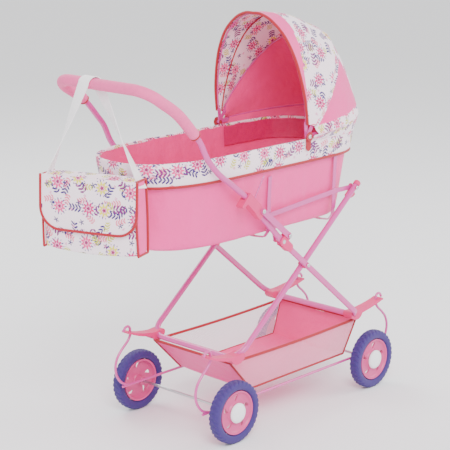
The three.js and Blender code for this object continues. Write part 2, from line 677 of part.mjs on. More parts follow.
const HANDLE_RIGHT = handleStations();
add('handle_bar', sweep(roundSection(TUBE_RADIUS, TUBE_RADIUS - TUBE_WALL),
	[...HANDLE_RIGHT, ...mirrorY(HANDLE_RIGHT)]), PAINT);

// Foam grip; it reaches further down the right arm than the left.
const gripReach = (limit) => HANDLE_RIGHT.filter((p) => p.x < limit);
add('handle_grip', sweep(roundSection(GRIP_RADIUS, TUBE_RADIUS + CLEARANCE),
	[...gripReach(-97), ...mirrorY(gripReach(-141))]), GRIP_FOAM);

// ---- handle lock --------------------------------------------------------------------------

for (const [sideName, side] of SIDES) {
	const low = BLOCK_START;
	const high = BLOCK_START + BLOCK_LENGTH;
	const blockIn = FRONT_FRAME_OFFSET - TUBE_RADIUS - 2.4;
	const blockOut = FRONT_FRAME_OFFSET + TUBE_RADIUS + 2.8;
	const lower = new THREE.Shape([onArm(low, -10), onArm(high - 40, -10), onArm(high - 40, 12),
		onArm(low, 12)]);
	const upper = new THREE.Shape([onArm(low + 22, -10), onArm(high - 10, -10),
		onArm(high - 6, -24), onArm(high, -24), onArm(high, 10), onArm(low + 22, 12)]);
	const flatBore = sidePlate(stripShape(onArm(low - 30, 0), onArm(high + 30, 0),
		FLAT_TUBE_HALF + 0.4), side, SLOT_IN, SLOT_OUT);
	const roundBore = new THREE.CylinderGeometry(TUBE_RADIUS + 0.5, TUBE_RADIUS + 0.5, 40, 12);
	const boreMiddle = onArm(ARM_LENGTH + 16, 0);
	layAlong(roundBore, ARM_DIRECTION);
	roundBore.translate(boreMiddle.x, side * FRONT_FRAME_OFFSET, boreMiddle.y);
	const block = cut(
		join(sidePlate(lower, side, blockIn, KNUCKLE_OUT), sidePlate(upper, side, blockIn, blockOut)),
		flatBore, roundBore);
	add(`${sideName}_lock_block`, join(block, ...linkRivet(LINK_TOP, side)), HOT_PINK);

	add(`${sideName}_lock_link`, cut(
		sidePlate(barShape(LINK_TOP, EAR, LINK_HALF_WIDTH), side, LINK_IN, LINK_OUT, 6),
		rivetHole(LINK_TOP, side, LINK_IN - 3, LINK_OUT + 3),
		pin(EAR, RIVET_RADIUS + LINK_PLAY, side, LINK_IN - 3, LINK_OUT + 3),
	), PAINT);
}

// ---- cot ----------------------------------------------------------------------------------

const COT_SIDES = 32;

// Plan of the cot at a height, moved outwards by an offset: straight long sides, a rounded
// head end and a longer rounded foot end. turn runs once round from the head end.
function cotOutline(turn, z, offset) {
	const size = THREE.MathUtils.mapLinear(z, COT_BOTTOM, RIM_HEIGHT, COT_TAPER, 1);
	const c = Math.cos(turn);
	const s = Math.sin(turn);
	const [foot, head] = COT_STRAIGHT.map((x) => COT_MIDDLE + (x - COT_MIDDLE) * size);
	const ahead = c > 0;
	const exponent = ahead ? 2 / 3 : 2 / 2.5;
	const reach = (ahead ? COT_HEAD - COT_STRAIGHT[1] : COT_STRAIGHT[0] - COT_FOOT) * size + offset;
	const x = (ahead ? head : foot) + Math.sign(c) * reach * Math.abs(c) ** exponent;
	const y = Math.sign(s) * (COT_HALF_WIDTH * size + offset) * Math.abs(s) ** exponent;
	return new THREE.Vector2(x, y);
}

// A turned body whose rings are moved out to the cot's plan. rings: [share, height, offset].
function cotLoft(rings) {
	const profile = rings.map(([share], i) => new THREE.Vector2(share, i));
	const loft = new THREE.LatheGeometry(profile, COT_SIDES, Math.PI / COT_SIDES);
	return moveVertices(loft, (p) => {
		const [share, z, offset] = rings[Math.round(p.y)];
		const edge = cotOutline(Math.atan2(p.x, p.z), z, offset);
		p.set(COT_MIDDLE + (edge.x - COT_MIDDLE) * share, edge.y * share, z);
	});
}

add('cot_shell', cotLoft([
	[0, COT_BOTTOM - COT_SAG, 0], [0.9, COT_BOTTOM - 2, 0], [1, COT_BOTTOM + 6, 0],
	[1, 480, 0], [1, RIM_HEIGHT, 0], [1, RIM_HEIGHT, -FABRIC], [1, 480, -FABRIC],
	[1, COT_BOTTOM + 6 + FABRIC, -FABRIC], [0.9, COT_BOTTOM - 2 + FABRIC, 0],
	[0, COT_BOTTOM - COT_SAG + FABRIC, 0],
]), PINK_FABRIC);

const BAND_LOW = RIM_HEIGHT - BAND_HEIGHT;
const BAND_IN = BAND_OFFSET - BAND_THICKNESS;
add('cot_band', cotLoft([
	[1, BAND_LOW, BAND_IN], [1, BAND_LOW, BAND_OFFSET], [1, RIM_HEIGHT, BAND_OFFSET],
	[1, RIM_HEIGHT, BAND_IN], [1, BAND_LOW, BAND_IN],
]), PRINT_FABRIC);

const RIM_WIRE_RING = [];
for (let i = 0; i <= 6; i++) {
	const turn = i / 6 * 2 * Math.PI;
	RIM_WIRE_RING.push([1, RIM_HEIGHT - 7 + RIM_WIRE_RADIUS * Math.sin(turn),
		BAND_IN / 2 + RIM_WIRE_RADIUS * Math.cos(turn)]);
}
add('cot_rim_wire', cotLoft(RIM_WIRE_RING), PAINT);

// ---- hood ---------------------------------------------------------------------------------

// Half of the hood's arch as shares of its half width and of its radius.
const ARCH = [[0, 1], [0.17, 0.996], [0.39, 0.947], [0.64, 0.83], [0.816, 0.67], [0.92, 0.5],
	[0.985, 0.317], [1, 0.171]];

function arch(offset) {
	const right = ARCH.map(([across, out]) => new THREE.Vector2(
		-across * (HOOD_HALF_WIDTH + offset), out * (HOOD_RADIUS + offset)));
	const left = right.slice(1).map((p) => new THREE.Vector2(-p.x, p.y));
	return new THREE.SplineCurve([...right.reverse(), ...left]).getPoints(18);
}

// A fabric section of the hood, turned about the pivot from one angle to another.
function hoodPanel(offset, from, to) {
	const section = new THREE.Shape([...arch(offset), ...arch(offset - HOOD_FABRIC).reverse()]);
	const panel = new THREE.ExtrudeGeometry(section, { depth: 1, steps: 4, bevelEnabled: false });
	return moveVertices(panel, (p) => {
		const angle = THREE.MathUtils.degToRad(THREE.MathUtils.lerp(from, to, p.z));
		const radius = p.y;
		p.set(HOOD_PIVOT.x + radius * Math.cos(angle), -p.x, HOOD_PIVOT.y + radius * Math.sin(angle));
	});
}

const EYE_PITCH = 2;
const EYE_FIRST = 120.6;          // innermost eye from the middle plane
const EYE_THICKNESS = 1.6;
const STRAP_HALF_WIDTH = EYE_RADIUS - 1.5;

// A wire bow with a flattened strap and an eye at each end.
function hoodBow(offset, degrees, layer) {
	const angle = THREE.MathUtils.degToRad(degrees);
	const outwards = new THREE.Vector2(Math.cos(angle), Math.sin(angle));
	const near = EYE_FIRST + layer * EYE_PITCH;
	const place = (y, radius) => {
		const at = along(HOOD_PIVOT, outwards, radius);
		return new THREE.Vector3(at.x, y, at.y);
	};
	const y = near + EYE_THICKNESS / 2;
	const line = arch(offset).map((p) => place(p.x, p.y));
	const stations = [place(-y, 24), place(-y, 30), ...line, place(y, 30), place(y, 24)];
	const straps = bothSides((side) => sidePlate(
		barShape(HOOD_PIVOT, along(HOOD_PIVOT, outwards, 26), STRAP_HALF_WIDTH), side, near,
		near + EYE_THICKNESS, 6));
	const holes = bothSides((side) =>
		pin(HOOD_PIVOT, HOOD_PIN_RADIUS + CLEARANCE, side, near - 3, near + 5));
	return cut(join(sweep(roundSection(BOW_RADIUS), stations, null, 3), ...straps), ...holes);
}

add('hood_front_bow', hoodBow(-4, 95.5, 0), PAINT);
add('hood_middle_bow', hoodBow(2.5, 52, 1), PAINT);
add('hood_rear_bow', hoodBow(9, 4, 2), PAINT);
add('hood_front_panel', hoodPanel(0, 66, 97), PRINT_FABRIC);
add('hood_middle_panel', hoodPanel(7, 36, 67), PRINT_FABRIC);
add('hood_rear_panel', hoodPanel(10, 7, 37), PRINT_FABRIC);

for (const [sideName, side] of SIDES) {
	const tabIn = EYE_FIRST + 3 * EYE_PITCH + CLEARANCE;
	const foot = new THREE.Vector2(HOOD_PIVOT.x, RIM_HEIGHT - 16);
	add(`${sideName}_hood_pivot`, join(
		sidePlate(barShape(foot, HOOD_PIVOT, 7), side, tabIn, tabIn + 1.6, 6),
		pin(HOOD_PIVOT, HOOD_PIN_RADIUS, side, EYE_FIRST - 1.2, tabIn + 2.4),
		pin(HOOD_PIVOT, 4, side, EYE_FIRST - 1.8, EYE_FIRST - CLEARANCE),
		pin(HOOD_PIVOT, 4, side, tabIn + 1, tabIn + 3),
	), HOT_PINK);
}

// ---- basket -------------------------------------------------------------------------------

function taperedBox(top, floor) {
	return moveVertices(new THREE.BoxGeometry(1, 1, 1), (p) => {
		const level = p.z > 0 ? top : floor;
		p.set(THREE.MathUtils.lerp(level.from, level.to, p.x + 0.5), 2 * level.half * p.y, level.z);
	});
}

const inset = ({ from, to, half, z }, lift) =>
	({ from: from + FABRIC, to: to - FABRIC, half: half - FABRIC, z: z + lift });

add('basket', cut(taperedBox(BASKET_TOP, BASKET_FLOOR),
	taperedBox(inset(BASKET_TOP, 1), inset(BASKET_FLOOR, FABRIC))), PINK_FABRIC);

// ---- bag ----------------------------------------------------------------------------------

// Bag pieces are drawn with X along the bag, Y away from the stroller, Z up from the bag's top.
const placeBag = (geometry) => geometry.rotateZ(Math.PI / 2 + BAG_YAW)
	.translate(BAG_CENTRE.x, BAG_CENTRE.y, BAG_TOP);

const bagBox = (shrink, lift) => new THREE.BoxGeometry(BAG_WIDTH - 2 * shrink,
	BAG_DEPTH - 2 * shrink, BAG_HEIGHT).translate(0, 0, -BAG_HEIGHT / 2 + lift);

add('bag_body', placeBag(cut(bagBox(0, 0), bagBox(BAG_CLOTH, BAG_CLOTH))), PRINT_FABRIC);

const FLAP_HALF = BAG_WIDTH / 2 - 2;
const FLAP_CORNER = 42;
const flapShape = new THREE.Shape();
flapShape.moveTo(-FLAP_HALF, 0);
flapShape.lineTo(-FLAP_HALF, FLAP_HEIGHT - FLAP_CORNER);
flapShape.quadraticCurveTo(-FLAP_HALF, FLAP_HEIGHT, -FLAP_HALF + FLAP_CORNER, FLAP_HEIGHT);
flapShape.lineTo(FLAP_HALF - FLAP_CORNER, FLAP_HEIGHT);
flapShape.quadraticCurveTo(FLAP_HALF, FLAP_HEIGHT, FLAP_HALF, FLAP_HEIGHT - FLAP_CORNER);
flapShape.lineTo(FLAP_HALF, 0);
const flap = new THREE.ExtrudeGeometry(flapShape, {
	depth: BAG_CLOTH, curveSegments: 8, bevelEnabled: false,
});
flap.rotateX(-Math.PI / 2).translate(0, BAG_DEPTH / 2 + CLEARANCE, 0);
add('bag_flap', placeBag(flap), PRINT_FABRIC);

// Webbing strap: up from the bag's left end, over the grip, and down to its right end.
function strapEnd(side) {
	const reach = side * (BAG_WIDTH - STRAP_THICKNESS) / 2;
	return new THREE.Vector3(BAG_CENTRE.x - reach * Math.sin(BAG_YAW),
		BAG_CENTRE.y + reach * Math.cos(BAG_YAW), BAG_TOP + 3);
}

function strap() {
	const acrossBag = new THREE.Vector3(-Math.cos(BAG_YAW), -Math.sin(BAG_YAW), 0);
	const alongGrip = new THREE.Vector3(0, -1, 0);
	const wrapRadius = GRIP_RADIUS + STRAP_THICKNESS + 3 * CLEARANCE;
	const wrap = [];
	for (let i = 0; i <= 8; i++) {
		const turn = Math.PI * (1 - i / 8);
		wrap.push(new THREE.Vector3(BAR.x + wrapRadius * Math.cos(turn), STRAP_CROSSING + 5 - 1.25 * i,
			BAR.y + wrapRadius * Math.sin(turn)));
	}
	const stations = [];
	const sides = [];
	for (let i = 0; i < 7; i++) {
		stations.push(strapEnd(1).lerp(wrap[0], i / 7));
		sides.push(acrossBag.clone().lerp(alongGrip, i / 7));
	}
	stations.push(...wrap);
	sides.push(...wrap.map(() => alongGrip.clone()));
	for (let i = 1; i <= 7; i++) {
		stations.push(wrap[8].clone().lerp(strapEnd(-1), i / 7));
		sides.push(alongGrip.clone().lerp(acrossBag, i / 7));
	}
	return sweep(stripSection(STRAP_WIDTH, STRAP_THICKNESS), stations, sides);
}

add('bag_strap', strap(), WEBBING);

// ---- origin: middle of the bottom ---------------------------------------------------------

const bounds = new THREE.Box3().setFromObject(stroller);
const middle = bounds.getCenter(new THREE.Vector3());
stroller.position.set(-middle.x, -middle.y, -bounds.min.z);

export default stroller;
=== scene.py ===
"""Doll stroller: the visible pieces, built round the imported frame. Sizes in the code are millimetres."""
import json
import math

import bpy
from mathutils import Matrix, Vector, noise


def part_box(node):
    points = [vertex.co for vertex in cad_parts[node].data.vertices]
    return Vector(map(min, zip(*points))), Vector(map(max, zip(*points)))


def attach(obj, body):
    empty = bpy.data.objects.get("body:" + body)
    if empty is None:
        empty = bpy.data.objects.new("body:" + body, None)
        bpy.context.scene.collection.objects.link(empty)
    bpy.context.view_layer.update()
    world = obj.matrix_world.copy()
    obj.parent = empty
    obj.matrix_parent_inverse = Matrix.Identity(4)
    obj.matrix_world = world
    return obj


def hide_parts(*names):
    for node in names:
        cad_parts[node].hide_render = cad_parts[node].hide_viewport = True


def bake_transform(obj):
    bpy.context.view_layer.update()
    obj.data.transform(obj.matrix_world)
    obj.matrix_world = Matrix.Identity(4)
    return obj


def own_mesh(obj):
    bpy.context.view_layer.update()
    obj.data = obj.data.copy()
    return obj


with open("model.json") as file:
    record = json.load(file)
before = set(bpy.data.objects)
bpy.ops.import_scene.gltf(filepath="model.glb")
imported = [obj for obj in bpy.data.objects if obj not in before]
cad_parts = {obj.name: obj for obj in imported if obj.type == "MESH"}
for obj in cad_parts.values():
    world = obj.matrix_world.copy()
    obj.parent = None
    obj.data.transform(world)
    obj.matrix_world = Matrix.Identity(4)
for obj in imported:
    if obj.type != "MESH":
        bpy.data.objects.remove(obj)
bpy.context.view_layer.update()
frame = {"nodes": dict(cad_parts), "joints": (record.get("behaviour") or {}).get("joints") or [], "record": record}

bl_info = {
    "name": "Doll Stroller",
    "version": (1, 0, 0),
    "blender": (4, 5, 0),
    "location": "View3D > Sidebar > Stroller",
    "description": "Builds the fabric, tubes, wheels and fittings of a doll stroller",
    "category": "Add Mesh",
}

MM = 0.001
JOINTS = {joint["name"]: joint for joint in frame["joints"]}
ORIGIN_X = JOINTS["rear_right_wheel_spin"]["pos_m"][0]
WHEELBASE = (JOINTS["front_right_wheel_spin"]["pos_m"][0] - ORIGIN_X) / MM
SIDES = (("right", -1), ("left", 1))
MATERIALS = {}


def at(x, y, z):
    """A place given in millimetres from the rear axle, the middle plane and the floor."""
    return Vector((ORIGIN_X + x * MM, y * MM, z * MM))


def joint_place(name):
    """A joint's place in millimetres from the rear axle."""
    x, y, z = JOINTS[name]["pos_m"]
    return (x - ORIGIN_X) / MM, y / MM, z / MM


def outer_face(node):
    """How far a right-hand node reaches from the middle plane, in millimetres."""
    return -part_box(node)[0].y / MM


# ---- shapes ------------------------------------------------------------------------------


def select_only(obj):
    bpy.ops.object.select_all(action="DESELECT")
    obj.select_set(True)
    bpy.context.view_layer.objects.active = obj


def edit_all(obj, *steps):
    """Runs edit-mode steps on everything in the object."""
    select_only(obj)
    bpy.ops.object.mode_set(mode="EDIT")
    bpy.ops.mesh.select_all(action="SELECT")
    for step in steps:
        step()
    bpy.ops.object.mode_set(mode="OBJECT")


def apply_modifiers(obj):
    select_only(obj)
    for modifier in list(obj.modifiers):
        bpy.ops.object.modifier_apply(modifier=modifier.name)


def surface(name, columns, rows, place, flat=None, closed=False, fill=False, thickness=0):
    """A grid laid out by place(u, v); flat(u, v) gives the cloth's own coordinates in metres."""
    bpy.ops.object.select_all(action="DESELECT")
    bpy.ops.mesh.primitive_grid_add(x_subdivisions=columns, y_subdivisions=rows, size=1)
    obj = bpy.context.object
    obj.name = name
    for vertex in obj.data.vertices:
        vertex.co = place(vertex.co.x + 0.5, vertex.co.y + 0.5)
    if flat:
        for loop in obj.data.uv_layers.active.data:
            loop.uv = flat(*loop.uv)
    edit_all(obj, lambda: bpy.ops.mesh.remove_doubles(threshold=2e-6))
    if fill:
        edit_all(obj, lambda: bpy.ops.mesh.fill_holes(sides=0))
    if closed or fill:
        edit_all(obj, lambda: bpy.ops.mesh.normals_make_consistent(inside=False))
    if thickness:
        solidify = obj.modifiers.new("Thickness", "SOLIDIFY")
        solidify.thickness = thickness * MM
        solidify.offset = -1
        solidify.material_offset = 1
        solidify.material_offset_rim = 0
        solidify.use_even_offset = True
    return obj


def done(obj, body, *materials, replaces=(), smooth=40):
    """Finishes a piece: modifiers applied, smooth, with its materials, riding on its body."""
    for material in materials:
        obj.data.materials.append(material)
    apply_modifiers(obj)
    bpy.ops.object.shade_smooth_by_angle(angle=math.radians(smooth))
    if body:
        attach(obj, body)
    if replaces:
        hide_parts(*replaces)
    return obj


def smooth_route(points, count):
    """A smooth line through the points, at even steps along its length."""
    dense = []
    last = len(points) - 1
    for i in range(last):
        a, b = points[max(0, i - 1)], points[i]
        c, d = points[i + 1], points[min(last, i + 2)]
        for k in range(12):
            t = k / 12
            dense.append(0.5 * (2 * b + (c - a) * t + (2 * a - 5 * b + 4 * c - d) * t * t
                                + (3 * b - a - 3 * c + d) * t ** 3))
    dense.append(points[-1])
    return even_route(dense, count)


def even_route(line, count):
    lengths = [0.0]
    for a, b in zip(line, line[1:]):
        lengths.append(lengths[-1] + (b - a).length)
    out = []
    k = 0
    for i in range(count + 1):
        want = lengths[-1] * i / count
        while k < len(line) - 2 and lengths[k + 1] < want:
            k += 1
        span = max(lengths[k + 1] - lengths[k], 1e-9)
        out.append(line[k].lerp(line[k + 1], (want - lengths[k]) / span))
    return out


def round_section(radius):
    return lambda turn: (radius * math.cos(turn), radius * math.sin(turn))


def oval_section(width, thickness):
    """Flat oval: thin along the first axis."""
    flat = (width - thickness) / 2

    def section(turn):
        s = math.sin(turn)
        return thickness / 2 * math.cos(turn), thickness / 2 * s + math.copysign(flat, s)

    return section


def strip_section(width, thickness):
    def section(turn):
        c, s = math.cos(turn), math.sin(turn)
        return (width / 2 * math.copysign(min(1, abs(c) * 1.6), c),
                thickness / 2 * math.copysign(min(1, abs(s) * 1.6), s))

    return section


def sweep(name, line, section, sides=None, around=16, loop=False):
    """A bar of one section along a line. sides gives the way the section's first axis points."""
    count = len(line)
    tangents = []
    for i in range(count):
        if loop:
            tangents.append((line[(i + 1) % (count - 1)] - line[(i - 1) % (count - 1)]).normalized())
        else:
            tangents.append((line[min(count - 1, i + 1)] - line[max(0, i - 1)]).normalized())
    side = Vector((0, 1, 0)) if abs(tangents[0].y) < 0.9 else Vector((1, 0, 0))
    frames = []
    length = [0.0]
    for i, tangent in enumerate(tangents):
        side = sides[i] if sides else side
        side = (side - tangent * side.dot(tangent)).normalized()
        frames.append((side, tangent.cross(side)))
        if i:
            length.append(length[-1] + (line[i] - line[i - 1]).length)

    def place(u, v):
        i = round(v * (count - 1))
        if loop and i == count - 1:
            i = 0
        a, b = section((u % 1.0) * 2 * math.pi)
        return line[i] + frames[i][0] * a * MM + frames[i][1] * b * MM

    reach = max(abs(section(0)[0]), abs(section(math.pi / 2)[1])) * MM

    def flat(u, v):
        return u * 4 * reach, length[round(v * (count - 1))]

    return surface(name, around, count - 1, place, flat, closed=True, fill=not loop)


def turned(name, centre, side, profile, around=64):
    """A body turned about the Y axis; profile gives (radius, distance outwards)."""
    def place(u, v):
        radius, out = profile[round(v * (len(profile) - 1))]
        turn = (u % 1.0) * 2 * math.pi
        return centre + Vector((radius * math.sin(turn), side * out, radius * math.cos(turn))) * MM

    return surface(name, around, len(profile) - 1, place, closed=True)


# ---- materials ---------------------------------------------------------------------------


def linear(colour):
    """An sRGB hex colour as linear RGBA."""
    channels = [int(colour[i:i + 2], 16) / 255 for i in (1, 3, 5)]
    return [c / 12.92 if c <= 0.04045 else ((c + 0.055) / 1.055) ** 2.4 for c in channels] + [1.0]


def node(tree, kind, links=None, **settings):
    """Adds a node: settings are attributes, or inputs when the name starts with in_."""
    made = tree.nodes.new(kind)
    for key, value in settings.items():
        if not key.startswith("in_"):
            setattr(made, key, value)
    for key, value in settings.items():
        if key.startswith("in_"):
            index = key[3:]
            made.inputs[int(index) if index.isdigit() else index.replace("_", " ")].default_value = value
    for socket, source in (links or {}).items():
        tree.links.new(source, made.inputs[socket])
    return made


def calc(tree, operation, first, second=None):
    """A Math node on sockets or numbers."""
    made = node(tree, "ShaderNodeMath", operation=operation)
    for index, value in enumerate((first, second)):
        if isinstance(value, (int, float)):
            made.inputs[index].default_value = value
        elif value is not None:
            tree.links.new(value, made.inputs[index])
    return made.outputs[0]


def material(name, colour_name, roughness, **inputs):
    """A new material in one of the user's colours, and its tree, shader and colour."""
    made = bpy.data.materials.new(name)
    made.use_nodes = True
    colour = [*getattr(bpy.context.scene.stroller_colours, colour_name), 1.0]
    made.diffuse_color = colour
    shader = made.node_tree.nodes["Principled BSDF"]
    shader.inputs["Base Color"].default_value = colour
    shader.inputs["Roughness"].default_value = roughness
    for key, value in inputs.items():
        shader.inputs[key.replace("_", " ")].default_value = value
    return made, made.node_tree, shader, colour


def blotch(tree, shader, vector, colour, size_mm, depth=0.07):
    """Varies a colour a little, lighter and darker, in patches of a size."""
    grain = node(tree, "ShaderNodeTexNoise", {"Vector": vector}, in_Scale=1000 / size_mm, in_Detail=3.0)
    dark = [c * (1 - depth) for c in colour[:3]] + [1.0]
    light = [min(1.0, c * (1 + depth)) for c in colour[:3]] + [1.0]
    mix = node(tree, "ShaderNodeMix", {0: grain.outputs["Fac"]}, data_type="RGBA", in_6=dark, in_7=light)
    tree.links.new(mix.outputs[2], shader.inputs["Base Color"])
    return mix.outputs[2]


def bump(tree, shader, height, strength, depth_mm):
    made = node(tree, "ShaderNodeBump", {"Height": height}, in_Strength=strength,
                in_Distance=depth_mm * MM)
    tree.links.new(made.outputs["Normal"], shader.inputs["Normal"])


def weave(tree, vector, pitch_mm):
    """Crossing threads. A wave texture of scale 1 repeats every pi / 10 of its own units."""
    threads = [node(tree, "ShaderNodeTexWave", {"Vector": vector}, bands_direction=way,
                    in_Scale=math.pi / 10 / (pitch_mm * MM)) for way in ("X", "Y")]
    return calc(tree, "MULTIPLY", threads[0].outputs["Fac"], threads[1].outputs["Fac"])


def object_vector(tree):
    return node(tree, "ShaderNodeTexCoord").outputs["Object"]


def cloth_vector(tree):
    return node(tree, "ShaderNodeTexCoord").outputs["UV"]


def enamel():
    """Stoved enamel on steel tube: a smooth gloss coat with very slight orange peel, 1.5 mm across."""
    made, tree, shader, colour = material("stoved_enamel", "enamel", 0.28, Coat_Weight=0.6,
                                          Coat_Roughness=0.08)
    vector = object_vector(tree)
    blotch(tree, shader, vector, colour, 60, 0.04)
    peel = node(tree, "ShaderNodeTexNoise", {"Vector": vector}, in_Scale=1000 / 1.5)
    bump(tree, shader, peel.outputs["Fac"], 0.08, 0.1)
    return made


def moulded(name, colour_name, roughness):
    """Injection-moulded polypropylene: satin, with a spark-eroded grain drawn at 0.6 mm to show."""
    made, tree, shader, colour = material(name, colour_name, roughness, IOR=1.49)
    vector = object_vector(tree)
    blotch(tree, shader, vector, colour, 18, 0.04)
    grain = node(tree, "ShaderNodeTexNoise", {"Vector": vector}, in_Scale=1000 / 0.6, in_Detail=4.0)
    bump(tree, shader, grain.outputs["Fac"], 0.15, 0.1)
    return made


def foam(name, colour_name, cell_mm):
    """Closed-cell EVA foam: matt, its skin pitted by the cells."""
    made, tree, shader, colour = material(name, colour_name, 0.7, Sheen_Weight=0.1)
    vector = object_vector(tree)
    blotch(tree, shader, vector, colour, 9, 0.1)
    pits = node(tree, "ShaderNodeTexVoronoi", {"Vector": vector}, in_Scale=1000 / cell_mm)
    bump(tree, shader, pits.outputs["Distance"], 0.35, 0.35)
    return made


def steel():
    """Nickelled steel of the axles and rivets: bright, with faint handling marks."""
    made, tree, shader, colour = material("nickelled_steel", "steel", 0.28, Metallic=1.0)
    blotch(tree, shader, object_vector(tree), colour, 4, 0.08)
    return made


def satin(name, colour_name):
    """Polyester satin: a soft broad highlight, threads drawn at 1.2 mm and puckers 28 mm across."""
    made, tree, shader, colour = material(name, colour_name, 0.42, Sheen_Weight=0.12, Sheen_Roughness=0.4)
    vector = cloth_vector(tree)
    blotch(tree, shader, vector, colour, 45, 0.05)
    pucker = node(tree, "ShaderNodeTexNoise", {"Vector": vector}, in_Scale=1000 / 28, in_Detail=3.0)
    threads = calc(tree, "MULTIPLY", weave(tree, vector, 1.2), 0.06)
    bump(tree, shader, calc(tree, "ADD", pucker.outputs["Fac"], threads), 0.7, 5.0)
    return made


def plain_weave(name, colour_name, pitch_mm):
    """Webbing, bias tape and net yarn: matt, with a plain weave at its own thread pitch."""
    made, tree, shader, colour = material(name, colour_name, 0.8, Sheen_Weight=0.2)
    vector = cloth_vector(tree)
    blotch(tree, shader, vector, colour, 12, 0.05)
    bump(tree, shader, weave(tree, vector, pitch_mm), 0.4, 0.4)
    return made


def motif(tree, vector, spacing_mm, shift):
    """Scattered places: offset from the nearest in millimetres, and its three random numbers."""
    moved = node(tree, "ShaderNodeVectorMath", {0: vector}, operation="ADD", in_1=(shift, shift / 2, 0))
    cells = node(tree, "ShaderNodeTexVoronoi", {"Vector": moved.outputs[0]}, voronoi_dimensions="2D",
                 in_Scale=1000 / spacing_mm, in_Randomness=0.6)
    offset = node(tree, "ShaderNodeVectorMath", {0: moved.outputs[0], 1: cells.outputs["Position"]},
                  operation="SUBTRACT")
    parts = node(tree, "ShaderNodeSeparateXYZ", {0: offset.outputs[0]})
    chance = node(tree, "ShaderNodeSeparateColor", {0: cells.outputs["Color"]})
    across, up = (calc(tree, "MULTIPLY", parts.outputs[i], 1000.0) for i in (0, 1))
    return across, up, chance.outputs


def paint(tree, under, mask, colour):
    """Prints a colour over another where the mask is 1."""
    mix = node(tree, "ShaderNodeMix", {0: mask, 6: under}, data_type="RGBA")
    if isinstance(colour, str):
        mix.inputs[7].default_value = linear(colour)
    else:
        tree.links.new(colour, mix.inputs[7])
    return mix.outputs[2]


def turned_offset(tree, x, y, turn):
    """An offset as distances along and across a direction."""
    c, s = calc(tree, "COSINE", turn), calc(tree, "SINE", turn)
    return (calc(tree, "ADD", calc(tree, "MULTIPLY", x, c), calc(tree, "MULTIPLY", y, s)),
            calc(tree, "SUBTRACT", calc(tree, "MULTIPLY", y, c), calc(tree, "MULTIPLY", x, s)))


def oval(tree, a, b, length_mm, width_mm):
    a, b = calc(tree, "DIVIDE", a, length_mm), calc(tree, "DIVIDE", b, width_mm)
    squares = calc(tree, "ADD", calc(tree, "MULTIPLY", a, a), calc(tree, "MULTIPLY", b, b))
    return calc(tree, "LESS_THAN", squares, 1.0)


def petals(tree, x, y, radius_mm, count, depth):
    """Mask of a flower with round petals."""
    away = calc(tree, "SQRT", calc(tree, "ADD", calc(tree, "MULTIPLY", x, x), calc(tree, "MULTIPLY", y, y)))
    wave = calc(tree, "COSINE", calc(tree, "MULTIPLY", calc(tree, "ARCTAN2", y, x), float(count)))
    edge = calc(tree, "ADD", calc(tree, "MULTIPLY", wave, radius_mm * depth), radius_mm * (1 - depth))
    return calc(tree, "LESS_THAN", away, edge)


def sprig(tree, x, y, turn, half_mm, leaf_mm):
    """Mask of a stem with pairs of slanting leaves."""
    a, b = turned_offset(tree, x, y, turn)
    inside = calc(tree, "LESS_THAN", calc(tree, "ABSOLUTE", a), half_mm)
    stem = calc(tree, "LESS_THAN", calc(tree, "ABSOLUTE", b), 0.4)
    pitch = leaf_mm * 1.35
    step = calc(tree, "SUBTRACT", calc(tree, "MODULO", calc(tree, "ADD", a, 20 * pitch), pitch), pitch / 2)
    out = calc(tree, "SUBTRACT", calc(tree, "ABSOLUTE", b), leaf_mm * 0.75)
    p, q = turned_offset(tree, step, out, math.radians(50))
    leaves = oval(tree, p, q, leaf_mm, leaf_mm * 0.36)
    return calc(tree, "MULTIPLY", inside, calc(tree, "MAXIMUM", stem, leaves))


